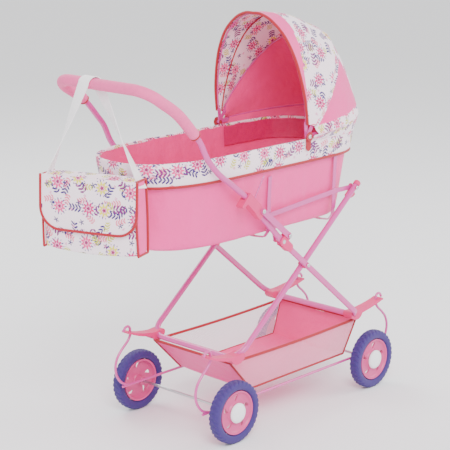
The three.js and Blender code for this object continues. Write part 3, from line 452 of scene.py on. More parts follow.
def printed_cotton():
    """Printed cotton: scattered blossoms, sprigs and small flowers on very pale pink."""
    made, tree, shader, ground = material("printed_cotton", "print_ground", 0.75, Sheen_Weight=0.15)
    vector = cloth_vector(tree)
    colour = blotch(tree, shader, vector, ground, 40, 0.02)

    sprigs = ((40, 0.31, 13.0, 5.0, "#3a1c70", 0.3), (36, 0.77, 10.0, 4.0, "#ee6f90", 0.5),
              (38, 1.43, 9.0, 4.2, "#c9c63c", 0.5), (46, 1.91, 13.0, 5.4, "#7c1470", 0.5))
    for spacing, shift, half, leaf, ink, share in sprigs:
        x, y, chance = motif(tree, vector, spacing, shift)
        mask = sprig(tree, x, y, calc(tree, "MULTIPLY", chance[0], 6.28), half, leaf)
        shown = calc(tree, "GREATER_THAN", chance[1], share)
        colour = paint(tree, colour, calc(tree, "MULTIPLY", mask, shown), ink)

    small_flowers = ((33, 2.3, 6.0, "#2c1666", 0.4), (28, 2.9, 3.6, "#e383b4", 0.4))
    for spacing, shift, radius, ink, share in small_flowers:
        x, y, chance = motif(tree, vector, spacing, shift)
        small = petals(tree, x, y, radius, 5, 0.42)
        shown = calc(tree, "GREATER_THAN", chance[1], share)
        colour = paint(tree, colour, calc(tree, "MULTIPLY", small, shown), ink)

    x, y, chance = motif(tree, vector, 52, 3.7)
    inks = node(tree, "ShaderNodeValToRGB", {0: chance[0]})
    ramp = inks.color_ramp
    ramp.interpolation = "CONSTANT"
    ramp.elements[0].color = linear("#cf0f74")
    ramp.elements[1].position = 0.5
    ramp.elements[1].color = linear("#ea3f88")
    ramp.elements.new(0.72).color = linear("#e2d83f")
    shown = calc(tree, "GREATER_THAN", chance[1], 0.12)
    rays = calc(tree, "MULTIPLY", petals(tree, x, y, 17.0, 14, 0.3), shown)
    colour = paint(tree, colour, rays, "#3f2280")
    halo = calc(tree, "MULTIPLY", petals(tree, x, y, 14.2, 7, 0.1), shown)
    colour = paint(tree, colour, halo, "#fbdcea")
    for radius, count, depth, ink in ((12.8, 9, 0.2, inks.outputs[0]), (6.6, 7, 0.15, "#f59cc4"),
                                      (4.0, 5, 0.2, "#90105c")):
        mask = calc(tree, "MULTIPLY", petals(tree, x, y, radius, count, depth), shown)
        colour = paint(tree, colour, mask, ink)
    tree.links.new(colour, shader.inputs["Base Color"])
    bump(tree, shader, weave(tree, vector, 1.0), 0.25, 0.3)
    return made


def make_materials():
    MATERIALS.update({
        "enamel": enamel(),
        "hot_pink": moulded("moulded_hot_pink", "moulded", 0.42),
        "rim": moulded("moulded_rim_pink", "rim", 0.38),
        "white": moulded("moulded_white", "cap", 0.3),
        "steel": steel(),
        "tyre": foam("tyre_foam", "tyre", 1.1),
        "grip": foam("grip_foam", "grip", 1.4),
        "satin": satin("pink_satin", "satin"),
        "lining": satin("pink_lining", "lining"),
        # The facing colour is painted shade: a deep magenta standing in for the hood's shadow inside the cot's
        # head end.
        "facing": satin("magenta_painted_shade", "facing"),
        "print": printed_cotton(),
        "tape": plain_weave("red_bias_tape", "piping", 1.2),
        "webbing": plain_weave("white_webbing", "webbing", 2.2),
        "net": plain_weave("pale_net", "net", 1.0),
    })


NODE_MATERIALS = {
    "pink_paint": "enamel", "hot_pink_plastic": "hot_pink", "rim_plastic": "rim",
    "white_plastic": "white", "steel": "steel", "tyre_foam": "tyre", "grip_foam": "grip",
    "pink_fabric": "satin", "print_fabric": "print", "webbing": "webbing",
}


# ---- settings a user may change ----------------------------------------------------------


def length(name, text, default_mm, top_mm):
    return bpy.props.FloatProperty(name=name, description=text, default=default_mm * MM, min=0,
                                   max=top_mm * MM, unit="LENGTH", precision=4)


def hue(name, text, colour):
    return bpy.props.FloatVectorProperty(name=name, description=text, default=linear(colour)[:3], size=3,
                                         min=0, max=1, subtype="COLOR")


class StrollerSizes(bpy.types.PropertyGroup):
    """Sizes of the sewn and moulded detail."""

    tread_depth: length("Tread depth", "Depth of the grooves between the tyre's lugs", 1.8, 4)
    piping: length("Piping", "Radius of the red bias piping", 3.0, 4)
    fabric: length("Fabric", "Thickness of the cloth", 1.2, 3)
    fold_depth: length("Fold depth", "Depth of the soft folds in the cot's sides", 2.4, 3)
    hood_dip: length("Hood dip", "How far the hood sinks between its bows", 7, 12)
    tread_lugs: bpy.props.IntProperty(name="Tread lugs", description="Lugs round each tyre", default=34,
                                      min=8, max=60)


class StrollerColours(bpy.types.PropertyGroup):
    """Base colour of each finish."""

    enamel: hue("Enamel", "Tubes and wires", "#d0449a")
    moulded: hue("Moulded parts", "Brackets, knuckles and lock", "#df2e76")
    rim: hue("Rims", "Wheel rims", "#d04a88")
    cap: hue("Hub caps", "Hub caps", "#f5f4f8")
    tyre: hue("Tyres", "Foam tyres", "#38226f")
    grip: hue("Grip", "Foam sleeve of the handle", "#ec5a98")
    steel: hue("Steel", "Axles and rivets", "#cdced1")
    satin: hue("Satin", "Cot, basket and hood gores", "#ff3a9a")
    lining: hue("Lining", "Inside of the cot, hood and bag", "#f53a8e")
    # facing is painted shade: a deep magenta standing in for the hood's shadow inside the cot's head end.
    facing: hue("Facing", "Strip inside the cot's rim at the head", "#cc0064")
    print_ground: hue("Print", "Ground of the printed cotton", "#fde8f3")
    piping: hue("Piping", "Bias piping", "#a60020")
    webbing: hue("Webbing", "Shoulder strap", "#f8f4f7")
    net: hue("Net", "Sides of the basket", "#fbd3e6")


def size(name):
    """A user's size in millimetres."""
    return getattr(bpy.context.scene.stroller_sizes, name) / MM


# ---- wheels ------------------------------------------------------------------------------

WHEELS = [(end, side_name, side) for end in ("rear", "front") for side_name, side in SIDES]
TYRE_MIDDLE, TYRE_DEPTH, TYRE_HALF_WIDTH = 55.5, 9.5, 12
# Radius and distance outwards from the wheel's middle.
CAP_PROFILE = [(0, 8.8), (20, 8.8), (20.8, 9.6), (20.8, 11.6), (19, 14), (15, 15.6), (9, 16.5), (4, 16.8),
               (0, 16.8)]
RIM_PROFILE = [(3.4, -18), (8, -18), (9, -17), (9, -1), (11, 1), (38, 1), (40, -1), (41.5, -9), (45.4, -9.5),
               (45.4, 9.5), (44.6, 10.2), (42.5, 9.6), (41, 6.5), (38, 4.6), (24, 5), (21.5, 8.2), (3.4, 8.5),
               (3.4, -18)]
RIM_SLOTS, SLOT_AWAY, SLOT_SLANT = 5, 31.5, 0.6


class STROLLER_OT_wheels(bpy.types.Operator):
    """Foam tyres with slanting lugs, slotted rims and domed hub caps"""

    bl_idname = "stroller.wheels"
    bl_label = "Wheels"

    def execute(self, context):
        for end, side_name, side in WHEELS:
            name = f"{end}_{side_name}"
            centre = Vector(JOINTS[f"{name}_wheel_spin"]["pos_m"])
            self.tyre(name, centre, side)
            self.rim(name, centre, side)
            cap = turned(f"{name}_cap", centre, side, CAP_PROFILE)
            done(cap, f"{name}_wheel", MATERIALS["white"], replaces=[f"{name}_hub_cap"])
        return {"FINISHED"}

    def tyre(self, name, centre, side):
        depth, lugs = size("tread_depth"), bpy.context.scene.stroller_sizes.tread_lugs

        def place(u, v):
            turn, section_turn = (u % 1.0) * 2 * math.pi, (v % 1.0) * 2 * math.pi
            c, s = math.cos(section_turn), math.sin(section_turn)
            out = TYRE_HALF_WIDTH * math.copysign(abs(s) ** 0.6, s)
            radius = TYRE_MIDDLE + TYRE_DEPTH * math.copysign(abs(c) ** 0.6, c)
            wave = math.sin(lugs * turn + 0.16 * lugs * abs(out) / TYRE_HALF_WIDTH)
            tread = max(0.0, min(1.0, (radius - 58) / 4))
            radius -= depth * tread * (0.5 - 0.5 * math.tanh(5 * (wave + 0.35)))
            return centre + Vector((radius * math.sin(turn), side * out, radius * math.cos(turn))) * MM

        tyre = surface(f"{name}_foam_tyre", 300, 28, place, closed=True)
        done(tyre, f"{name}_wheel", MATERIALS["tyre"], replaces=[f"{name}_tyre"])

    def rim(self, name, centre, side):
        rim = turned(f"{name}_moulded_rim", centre, side, RIM_PROFILE, around=80)
        c, s = math.cos(SLOT_SLANT), math.sin(SLOT_SLANT)
        for i in range(RIM_SLOTS):
            turn = i * 2 * math.pi / RIM_SLOTS
            bpy.ops.object.select_all(action="DESELECT")
            bpy.ops.mesh.primitive_cylinder_add(vertices=24, radius=1, depth=0.05)
            cutter = bpy.context.object
            for vertex in cutter.data.vertices:
                a, b = vertex.co.x * 3.6, vertex.co.y * 7.4
                a += 0.1 * b * b * 0.5
                across, away = a * c + b * s, SLOT_AWAY + b * c - a * s
                x = across * math.cos(turn) + away * math.sin(turn)
                z = away * math.cos(turn) - across * math.sin(turn)
                vertex.co = centre + Vector((x * MM, vertex.co.z, z * MM))
            edit_all(cutter, lambda: bpy.ops.mesh.normals_make_consistent(inside=False))
            hole = rim.modifiers.new("Slot", "BOOLEAN")
            hole.object = cutter
            hole.operation = "DIFFERENCE"
            apply_modifiers(rim)
            bpy.data.objects.remove(cutter)
        done(rim, f"{name}_wheel", MATERIALS["rim"], replaces=[f"{name}_rim"], smooth=35)


# ---- tubes and wires ---------------------------------------------------------------------

REAR_CROSS, FRONT_CROSS = (26, 164), (410, 169)
SPRING_HALF = [(-62, 190), (-58, 197), (-50, 200), (-44, 196), (-43, 189), (-43, 180), (-50, 168),
               (-66, 154), (-80, 138), (-86, 118), (-82, 98), (-68, 80), (-48, 72), (-25, 71)]
SPRING_OFFSET, STAY_OFFSET = 116, 127
HEAD_END = (393, 460)
HINGE = joint_place("handle_fold")


def mirrored(line):
    """The line followed by its mirror image across the middle plane."""
    return line + [Vector((p.x, -p.y, p.z)) for p in reversed(line)]


def u_line(top, cross, offset, corner=35, start=0):
    """Half of a U-shaped tube's centre line, from its upper end to the start of the crosspiece."""
    leg = Vector((top[0] - cross[0], top[1] - cross[1])).normalized()
    line = [at(top[0] + leg.x * start, -offset, top[1] + leg.y * start)]
    for i in range(13):
        turn = i / 12 * math.pi / 2
        up = corner * (1 - math.sin(turn))
        line.append(at(cross[0] + leg.x * up, -offset + corner * (1 - math.cos(turn)), cross[1] + leg.y * up))
    return line, leg


class STROLLER_OT_frame(bpy.types.Operator):
    """Round and flat-oval frame tubes and the sprung chassis wires"""

    bl_idname = "stroller.frame"
    bl_label = "Frame"

    def execute(self, context):
        line, _ = u_line(HEAD_END, REAR_CROSS, 124, start=12)
        rear = sweep("rear_round_tube", mirrored(line), round_section(6), around=24)
        done(rear, "root", MATERIALS["enamel"], replaces=["rear_frame_tube"])
        line, leg = u_line((HINGE[0], HINGE[2]), FRONT_CROSS, 136, start=-13)
        line = mirrored(line)
        normal = Vector((-leg.y, 0, leg.x))
        sides = [normal.cross((line[min(len(line) - 1, i + 1)] - line[max(0, i - 1)]).normalized())
                 for i in range(len(line))]
        front = sweep("front_oval_tube", line, oval_section(13, 6.5), sides, around=32)
        done(front, "root", MATERIALS["enamel"], replaces=["front_frame_tube"])
        for side_name, side in SIDES:
            points = [at(x, side * SPRING_OFFSET, z) for x, z in SPRING_HALF]
            points += [at(WHEELBASE - x, side * SPRING_OFFSET, z) for x, z in reversed(SPRING_HALF)]
            route = smooth_route(points, 220)
            wire = sweep(f"{side_name}_spring_wire", route, round_section(2.75), around=14)
            done(wire, "root", MATERIALS["enamel"], replaces=[f"{side_name}_chassis_wire"])
        return {"FINISHED"}


# ---- handle ------------------------------------------------------------------------------

BAR = joint_place("bag_swing")
PIVOT = joint_place("hood_middle_fold")


def on_arm(s, n=0):
    """Side-view place by distance along the lower arm and in front of it."""
    d = math.sqrt(0.5)
    return HINGE[0] + (n - s) * d, HINGE[2] + (n + s) * d


def handle_line():
    """Right half of the handle's centre line, from the flat arm to the crossbar."""
    side = [(*on_arm(140), 136), (*on_arm(160), 136), (-1, 529, 136), (-40, 558, 136), (-69, 590, 135),
            (-88, 625, 133.5), (-105, 645, 132), (-143, 685, 130), (-187, 714, 130)]
    line = smooth_route([at(x, -y, z) for x, z, y in side], 90)
    for i in range(1, 15):
        turn = i / 14 * math.pi / 2
        share = math.sin(turn)
        across = -130 + 45 * (1 - math.cos(turn))
        line.append(at(-187 + (BAR[0] + 187) * share, across, 714 + (BAR[2] - 714) * share))
    return line


class STROLLER_OT_handle(bpy.types.Operator):
    """Handle bar, flat arms and the foam grip with its red edging"""

    bl_idname = "stroller.handle"
    bl_label = "Handle"

    def execute(self, context):
        right = handle_line()
        bar = sweep("round_handle_bar", mirrored(right), round_section(6), around=24)
        done(bar, "handle", MATERIALS["enamel"], replaces=["handle_bar"])
        limits = [(-97, right), (-141, [Vector((p.x, -p.y, p.z)) for p in right])]
        parts = [[p for p in line if p.x < ORIGIN_X + limit * MM] for limit, line in limits]
        line = even_route(parts[0] + list(reversed(parts[1])), 180)
        count = len(line) - 1

        def soft(i):
            end = min(i, count - i) * 2.0
            return 11 if end > 4 else 8.6 + 0.6 * end

        grip = sweep("foam_grip_sleeve", line, round_section(1), around=28)
        for vertex in grip.data.vertices:
            i = min(range(len(line)), key=lambda k: (vertex.co - line[k]).length_squared)
            vertex.co = line[i] + (vertex.co - line[i]) * soft(i)
        done(grip, "handle", MATERIALS["grip"], replaces=["handle_grip"])
        for label, index, way in (("right", 0, 1), ("left", count, -1)):
            centre, tangent = line[index], (line[index + way] - line[index]).normalized()
            ring = sweep(f"{label}_grip_edging", self.ring(centre, tangent, 9.2), round_section(1.5),
                         around=10, loop=True)
            done(ring, "handle", MATERIALS["tape"])
        return {"FINISHED"}

    def ring(self, centre, tangent, radius):
        a = tangent.cross(Vector((0, 1, 0))).normalized()
        b = tangent.cross(a)
        return [centre + (a * math.cos(t) + b * math.sin(t)) * radius * MM
                for t in (i / 32 * 2 * math.pi for i in range(33))]


# ---- rivets and stay wires ---------------------------------------------------------------

EAR_AHEAD, EAR_ABOVE = 14, 10     # the link's lower rivet from the hinge
HINGE_UNDER_EAR = 4.1             # the hinge's flush rivet, from the face of the ear's rivet
LINK_ALONG, LINK_AHEAD = 100, 6.4
TAB_THICKNESS = 1.4               # red patch under the hood's rivet


class STROLLER_OT_rivets(bpy.types.Operator):
    """Domed steel rivet heads on the joints of the frame, and the cot's stay wires"""

    bl_idname = "stroller.rivets"
    bl_label = "Rivets and stays"

    def execute(self, context):
        hinge = (HINGE[0], HINGE[2])
        knuckle = outer_face("right_hinge_knuckle")
        places = [
            ("hinge", hinge, knuckle - HINGE_UNDER_EAR, "root"),
            ("ear", (hinge[0] + EAR_AHEAD, hinge[1] + EAR_ABOVE), knuckle, "root"),
            ("link", on_arm(LINK_ALONG, LINK_AHEAD), outer_face("right_lock_block"), "lock_blocks"),
            ("crossing", self.crossing(hinge), outer_face("right_crossing_rivet"), "root"),
            ("head", HEAD_END, outer_face("right_head_plate"), "root"),
            ("hood", (PIVOT[0], PIVOT[2]), outer_face("right_hood_pivot") + TAB_THICKNESS, "root"),
        ]
        for side_name, side in SIDES:
            for label, (x, z), y, body in places:
                rise = 0.12 if label == "hinge" else 1
                dome = [(0, 0), (4.4, 0), (4.2, 0.8), (3.2, 1.6), (1.7, 2.1), (0, 2.2)]
                rivet = turned(f"{side_name}_{label}_rivet", at(x, side * y, z), side,
                               [(r, h * rise) for r, h in dome], around=24)
                done(rivet, body, MATERIALS["steel"])
            seat = at(PIVOT[0], side * outer_face("right_hood_pivot"), PIVOT[2])
            tab = turned(f"{side_name}_hood_tab", seat, side,
                         [(0, 0), (9.6, 0), (10, 0.6), (9.2, 1.3), (0, 1.4)], around=32)
            done(tab, "root", MATERIALS["tape"])
            stay = [at(x, side * STAY_OFFSET, z) for x, z in ((100, 532), (87, 512), (73, 491))]
            wire = sweep(f"{side_name}_stay_wire", smooth_route(stay, 12), round_section(1.5), around=10)
            done(wire, "root", MATERIALS["enamel"])
        return {"FINISHED"}

    def crossing(self, hinge):
        """Where the legs of the two tubes cross, seen from the side."""
        rear = Vector((HEAD_END[0] - REAR_CROSS[0], HEAD_END[1] - REAR_CROSS[1])).normalized()
        front = Vector((FRONT_CROSS[0] - hinge[0], FRONT_CROSS[1] - hinge[1])).normalized()
        gap = Vector((hinge[0] - REAR_CROSS[0], hinge[1] - REAR_CROSS[1]))
        along = (gap.x * front.y - gap.y * front.x) / (rear.x * front.y - rear.y * front.x)
        return REAR_CROSS[0] + rear.x * along, REAR_CROSS[1] + rear.y * along


# ---- cot ---------------------------------------------------------------------------------

RIM, BAND_LOW, FLOOR = 585, 540, 405
COT_MIDDLE = 150


def cot_ring(z, offset, count=200):
    """Plan of the cot at a height, evenly spaced from the head end round by the left."""
    size = 0.88 + 0.12 * (z - FLOOR) / (RIM - FLOOR)
    foot, head = (COT_MIDDLE + (x - COT_MIDDLE) * size for x in (20, 300))
    line = []
    for i in range(241):
        turn = i / 240 * 2 * math.pi
        c, s = math.cos(turn), math.sin(turn)
        ahead = c > 0
        power = 2 / 3 if ahead else 2 / 2.5
        reach = (140 if ahead else 205) * size + offset
        x = (head if ahead else foot) + math.copysign(reach * abs(c) ** power, c)
        y = math.copysign((118 * size + offset) * abs(s) ** power, s)
        line.append(at(x, y, z))
    return even_route(line, count)


class STROLLER_OT_cot(bpy.types.Operator):
    """Satin cot body, the padded printed band round its rim, piping, and a deep pink strip of painted shade inside
    the head end under the hood
    """

    bl_idname = "stroller.cot"
    bl_label = "Cot"

    def execute(self, context):
        self.body()
        self.band()
        # A deep pink strip of painted shade, where the hood shades the cot's inside at the head end.
        self.facing()
        piping = sweep("cot_band_piping", cot_ring(BAND_LOW - 1, 6.2), round_section(size("piping")),
                       around=10, loop=True)
        done(piping, "root", MATERIALS["tape"])
        return {"FINISHED"}

    def body(self):
        folds = size("fold_depth")
        levels = [(0.0, -5), (0.25, -5), (0.5, -4), (0.75, -3), (0.9, -1), (0.97, 2), (1, 8)]
        levels += [(1, 8 + 10 * i) for i in range(1, 18)]
        rings = [cot_ring(FLOOR + max(rise, 0), 0) for _, rise in levels]
        middle = at(COT_MIDDLE, 0, 0)
        free_end = at(100, 0, 0).x

        def place(u, v):
            share, rise = levels[round(v * (len(levels) - 1))]
            edge = rings[round(v * (len(levels) - 1))][round(u * 200) % 200]
            out = Vector((edge.x - middle.x, edge.y, 0))
            hang = 0.35 + 0.65 * math.sin(math.pi * min(1, max(0, rise) / 178))
            loose = 1 + 1.4 * min(1, max(0, (free_end - edge.x) / 0.06))
            soft = noise.noise(Vector((edge.x * 26, edge.y * 26, rise * 0.009)))
            pull = noise.noise(Vector((edge.x * 60 + 9, edge.y * 60, rise * 0.02))) * 0.4
            grow = (soft + pull) * folds * hang * loose * MM * (1 if share == 1 else share ** 3)
            spot = Vector((middle.x, 0, 0)) + out * share + out.normalized() * grow
            spot.z = (FLOOR + rise) * MM
            return spot

        def flat(u, v):
            share, rise = levels[round(v * (len(levels) - 1))]
            return u * 1.42, rise * MM + share * 0.2

        body = surface("satin_cot_body", 200, len(levels) - 1, place, flat, closed=True,
                       thickness=size("fabric"))
        done(body, "root", MATERIALS["satin"], MATERIALS["lining"], replaces=["cot_shell"])

    def band(self):
        """A flat tube of printed cotton, out over the rim and back under it."""
        profile = [(5.2, -45), (6.2, -45), (7.0, -41), (7.4, -32), (7.5, -22), (7.3, -11), (6.6, -3),
                   (5.2, 0.8), (1.5, 1.2), (-0.6, 0.6), (-1.4, -3), (-0.4, -5), (1.2, -12), (5.0, -16),
                   (5.2, -45)]
        rings = [cot_ring(RIM + rise, offset) for offset, rise in profile]
        middle = at(COT_MIDDLE, 0, 0)

        def place(u, v):
            k = round(v * (len(profile) - 1)) % (len(profile) - 1)
            spot = rings[k][round(u * 200) % 200].copy()
            if profile[k][0] > 6.5:
                out = Vector((spot.x - middle.x, spot.y, 0)).normalized()
                spot += out * noise.noise(Vector((spot.x * 38, spot.y * 38, spot.z * 12))) * 0.5 * MM
            return spot

        lengths = [0.0]
        for (a, b), (c, d) in zip(profile, profile[1:]):
            lengths.append(lengths[-1] + math.hypot(c - a, d - b) * MM)
        band = surface("printed_cot_band", 200, len(profile) - 1, place,
                       lambda u, v: (u * 1.44, lengths[round(v * (len(profile) - 1))]), closed=True)
        done(band, "root", MATERIALS["print"], replaces=["cot_band"])

    def facing(self):
        """Deep pink strip of painted shade inside the rim, from the hood's pivots round the head end, where the
        hood shades the cot.
        """
        top, low = cot_ring(RIM - 4, -4), cot_ring(RIM - 44, -5)
        span = max(i for i in range(100) if top[i].x >= at(PIVOT[0], 0, 0).x)

        def place(u, v):
            i = round((2 * u - 1) * span) % 200
            spot = low[i].lerp(top[i], v)
            spot.z += noise.noise(Vector((spot.x * 30, spot.y * 30, v * 2))) * 2 * MM
            return spot

        strip = surface("cot_head_painted_shade", 2 * span, 6, place, lambda u, v: (u * 0.6, v * 0.04),
                        thickness=0.8)
        done(strip, "root", MATERIALS["facing"])


# ---- hood --------------------------------------------------------------------------------

HOOD_RADIUS, HOOD_HALF_WIDTH = 246, 127
ARCH = [(0, 1), (0.17, 0.996), (0.39, 0.947), (0.64, 0.83), (0.816, 0.67), (0.92, 0.5), (0.985, 0.317),
        (1, 0.171), (1, 0.1)]
FRONT_EDGE, MIDDLE_BOW, REAR_EDGE = 97, 52, 5
SKIRT_AHEAD = 8                   # the skirt starts this far ahead of the pivots


def arch_line(offset, count):
    """The hood's arch from right to left, as (across, away from the pivot) in millimetres."""
    half, radius = HOOD_HALF_WIDTH + offset, HOOD_RADIUS + offset
    right = [Vector((-a * half, r * radius, 0)) for a, r in reversed(ARCH)]
    left = [Vector((a * half, r * radius, 0)) for a, r in ARCH[1:]]
    return smooth_route(right + left, count)


class STROLLER_OT_hood(bpy.types.Operator):
    """Folding hood: two curved sheets that meet at the middle bow, with gores and piping"""

    bl_idname = "stroller.hood"
    bl_label = "Hood"

    def execute(self, context):
        front = self.sheet("hood_front_fabric", FRONT_EDGE, MIDDLE_BOW, (0.5, 6),
                           ("print", "print", "satin", "print"))
        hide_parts("hood_front_panel")
        self.crown(FRONT_EDGE)
        self.crown(MIDDLE_BOW)
        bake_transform(front)
        rear = self.sheet("hood_rear_fabric", MIDDLE_BOW, REAR_EDGE, (6, 11),
                          ("print", "lining", "satin", "lining"))
        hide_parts("hood_middle_panel", "hood_rear_panel")
        self.crown(MIDDLE_BOW)
        self.crown(REAR_EDGE)
        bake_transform(rear)
        for label, degrees, offset, radius in (("front", FRONT_EDGE, 0, size("piping")),
                                               ("inner", 80, -7, 1.4)):
            line = [self.spot(p, degrees) for p in arch_line(offset, 90)]
            edge = sweep(f"hood_{label}_piping", line, round_section(radius), around=10)
            done(edge, "hood_front", MATERIALS["tape"])
        self.skirt()
        return {"FINISHED"}

    def skirt(self):
        """Printed cloth from the hood's rear edge in to the cot's rim."""
        upper = [self.spot(p, REAR_EDGE) for p in arch_line(11, 90)]
        for end in (0, -1):
            upper[end].x = at(PIVOT[0] + SKIRT_AHEAD, 0, 0).x
        ring = cot_ring(RIM - 4, 8.4)
        way = 1 if ring[10].y > 0 else -1
        span = max(i for i in range(100) if ring[i].x >= upper[0].x)

        def place(u, v):
            return upper[round(u * 90)].lerp(ring[round((2 * u - 1) * span) * way % 200], v)

        skirt = surface("hood_skirt", 90, 8, place, lambda u, v: (u * 0.6, -v * 0.04),
                        thickness=size("fabric"))
        outward = sum(f.normal.dot(f.center - at(PIVOT[0] + 80, 0, PIVOT[2])) for f in skirt.data.polygons)
        if outward < 0:
            edit_all(skirt, bpy.ops.mesh.flip_normals)
        done(skirt, "root", MATERIALS["print"], MATERIALS["lining"])
        depth = sum((place(k / 90, 0) - place(k / 90, 1)).length for k in range(91)) / 91
        width = sum((place(k / 90, 0.5) - place((k + 1) / 90, 0.5)).length for k in range(90))

    def spot(self, point, degrees):
        turn = math.radians(degrees)
        return at(PIVOT[0] + point.y * math.cos(turn), point.x, PIVOT[2] + point.y * math.sin(turn))

    def crown(self, degrees):
        return tuple(self.spot(Vector((0, HOOD_RADIUS, 0)), degrees))

    def sheet(self, name, start, end, offsets, finishes):
        columns, rows = 90, 36
        swing = math.radians(abs(end - start))
        arches = []
        for k in range(rows + 1):
            t = k / rows
            dip = size("hood_dip") * math.sin(math.pi * t) ** 0.8
            arches.append(arch_line(offsets[0] + (offsets[1] - offsets[0]) * t - dip, columns))

        def place(u, v):
            point = arches[round(v * rows)][round(u * columns)].copy()
            point.y += noise.noise(Vector((u * 9, v * 3.5, start))) * 1.4
            return self.spot(point, start + (end - start) * v)

        flat_arch = arch_line((offsets[0] + offsets[1]) / 2, columns)
        arch_length = sum((b - a).length for a, b in zip(flat_arch, flat_arch[1:])) * MM
        steps = zip(flat_arch, flat_arch[1:])
        area = sum((b - a).length * (a.y + b.y) / 2 for a, b in steps) * swing * MM * MM

        def flat(u, v):
            return u * arch_length, (v - 0.5) * swing * flat_arch[round(u * columns)].y * MM + start

        sheet = surface(name, columns, rows, place, flat, thickness=size("fabric"))
        pivot = at(PIVOT[0], 0, PIVOT[2])
        if sum(f.normal.dot(f.center - pivot) for f in sheet.data.polygons) < 0:
            edit_all(sheet, bpy.ops.mesh.flip_normals)
        for face in sheet.data.polygons:
            x, z = (face.center.x - pivot.x) / MM, (face.center.z - pivot.z) / MM
            at_side = abs(face.center.y) > 0.085
            edge_band = x < 0.16 * z - 20 or math.degrees(math.atan2(z, x)) > FRONT_EDGE - 8
            gore = at_side and 16 + 0.1 * x < z < 22 + 1.11 * (x - 32)
            if edge_band or gore:
                face.material_index = 2
        done(sheet, None, *(MATERIALS[finish] for finish in finishes))
        return sheet


# ---- basket ------------------------------------------------------------------------------


class STROLLER_OT_basket(bpy.types.Operator):
    """Basket with net sides, satin ends and floor, and red piping"""

    bl_idname = "stroller.basket"
    bl_label = "Basket"

    TOP = (20, 427, 109, 155)
    LOW = (90, 392, 102, 81)

    def corner(self, end, side, level):
        box = self.TOP if level else self.LOW
        return at(box[1] if end else box[0], side * box[2], box[3])

    def execute(self, context):
        for side_name, side in SIDES:
            a, b = self.corner(0, side, 0), self.corner(1, side, 0)
            c, d = self.corner(0, side, 1), self.corner(1, side, 1)

            def place(u, v):
                low, high = a.lerp(b, u), c.lerp(d, u)
                spot = low.lerp(high, v)
                spot.y += side * -2.0 * MM * math.sin(math.pi * u) * math.sin(math.pi * v)
                spot.z -= 3.5 * MM * math.sin(math.pi * u) * v
                return spot

            net = surface(f"{side_name}_basket_net", 104, 24, place, lambda u, v: (u * 0.35, v * 0.08))
            strands = net.modifiers.new("Strands", "WIREFRAME")
            strands.thickness = 0.8 * MM
            strands.use_even_offset = False
            done(net, "root", MATERIALS["net"])
        self.trough()
        self.piping()
        return {"FINISHED"}

    def trough(self):
        """Ends and floor, one strip of cloth from rim to rim."""
        path = [at(20, 0, 155), at(90, 0, 81), at(392, 0, 81), at(427, 0, 155)]
        line = even_route(path, 90)

        def place(u, v):
            p = line[round(v * 90)]
            share = (p.z / MM - 81) / 74
            half = 102 + 7 * share
            spot = Vector((p.x, (u - 0.5) * 2 * half * MM, p.z))
            spot.z -= 4 * MM * math.sin(math.pi * u) * (1 if share < 0.05 else share * 0.9)
            spot.z += noise.noise(Vector((p.x * 18, u * 4, 3))) * 1.2 * MM
            return spot

        floor = surface("satin_basket_floor", 40, 90, place, lambda u, v: (u * 0.21, v * 0.5),
                        thickness=size("fabric"))
        done(floor, "root", MATERIALS["satin"], MATERIALS["lining"], replaces=["basket"])

    def piping(self):
        radius = size("piping")
        rim = [self.corner(0, -1, 1), self.corner(1, -1, 1), self.corner(1, 1, 1), self.corner(0, 1, 1),
               self.corner(0, -1, 1)]
        line = even_route(rim, 160)
        for i, p in enumerate(line):
            p.z -= 3.5 * MM * math.sin(math.pi * min(1, max(0, (p.x - rim[0].x) / (rim[1].x - rim[0].x))))
        line[-1] = line[0].copy()
        rim_piping = sweep("basket_rim_piping", line, round_section(radius), around=10, loop=True)
        done(rim_piping, "root", MATERIALS["tape"])
        for side_name, side in SIDES:
            for end_name, end in (("rear", 0), ("front", 1)):
                seam = even_route([self.corner(end, side, 0), self.corner(end, side, 1)], 12)
                piece = sweep(f"{end_name}_{side_name}_basket_seam", seam, round_section(radius * 0.8),
                              around=8)
                done(piece, "root", MATERIALS["tape"])
            hem = even_route([self.corner(0, side, 0), self.corner(1, side, 0)], 60)
            done(sweep(f"{side_name}_basket_hem", hem, round_section(radius * 0.8), around=8), "root",
                 MATERIALS["tape"])


# ---- bag ---------------------------------------------------------------------------------

BAG_YAW = math.radians(19)
BAG_TOP = 565


def on_bag(along, out, z):
    """A place on the bag: along it to the left, out from the stroller, and its height."""
    return at(-236 - along * math.sin(BAG_YAW) - out * math.cos(BAG_YAW),
              along * math.cos(BAG_YAW) - out * math.sin(BAG_YAW), z)


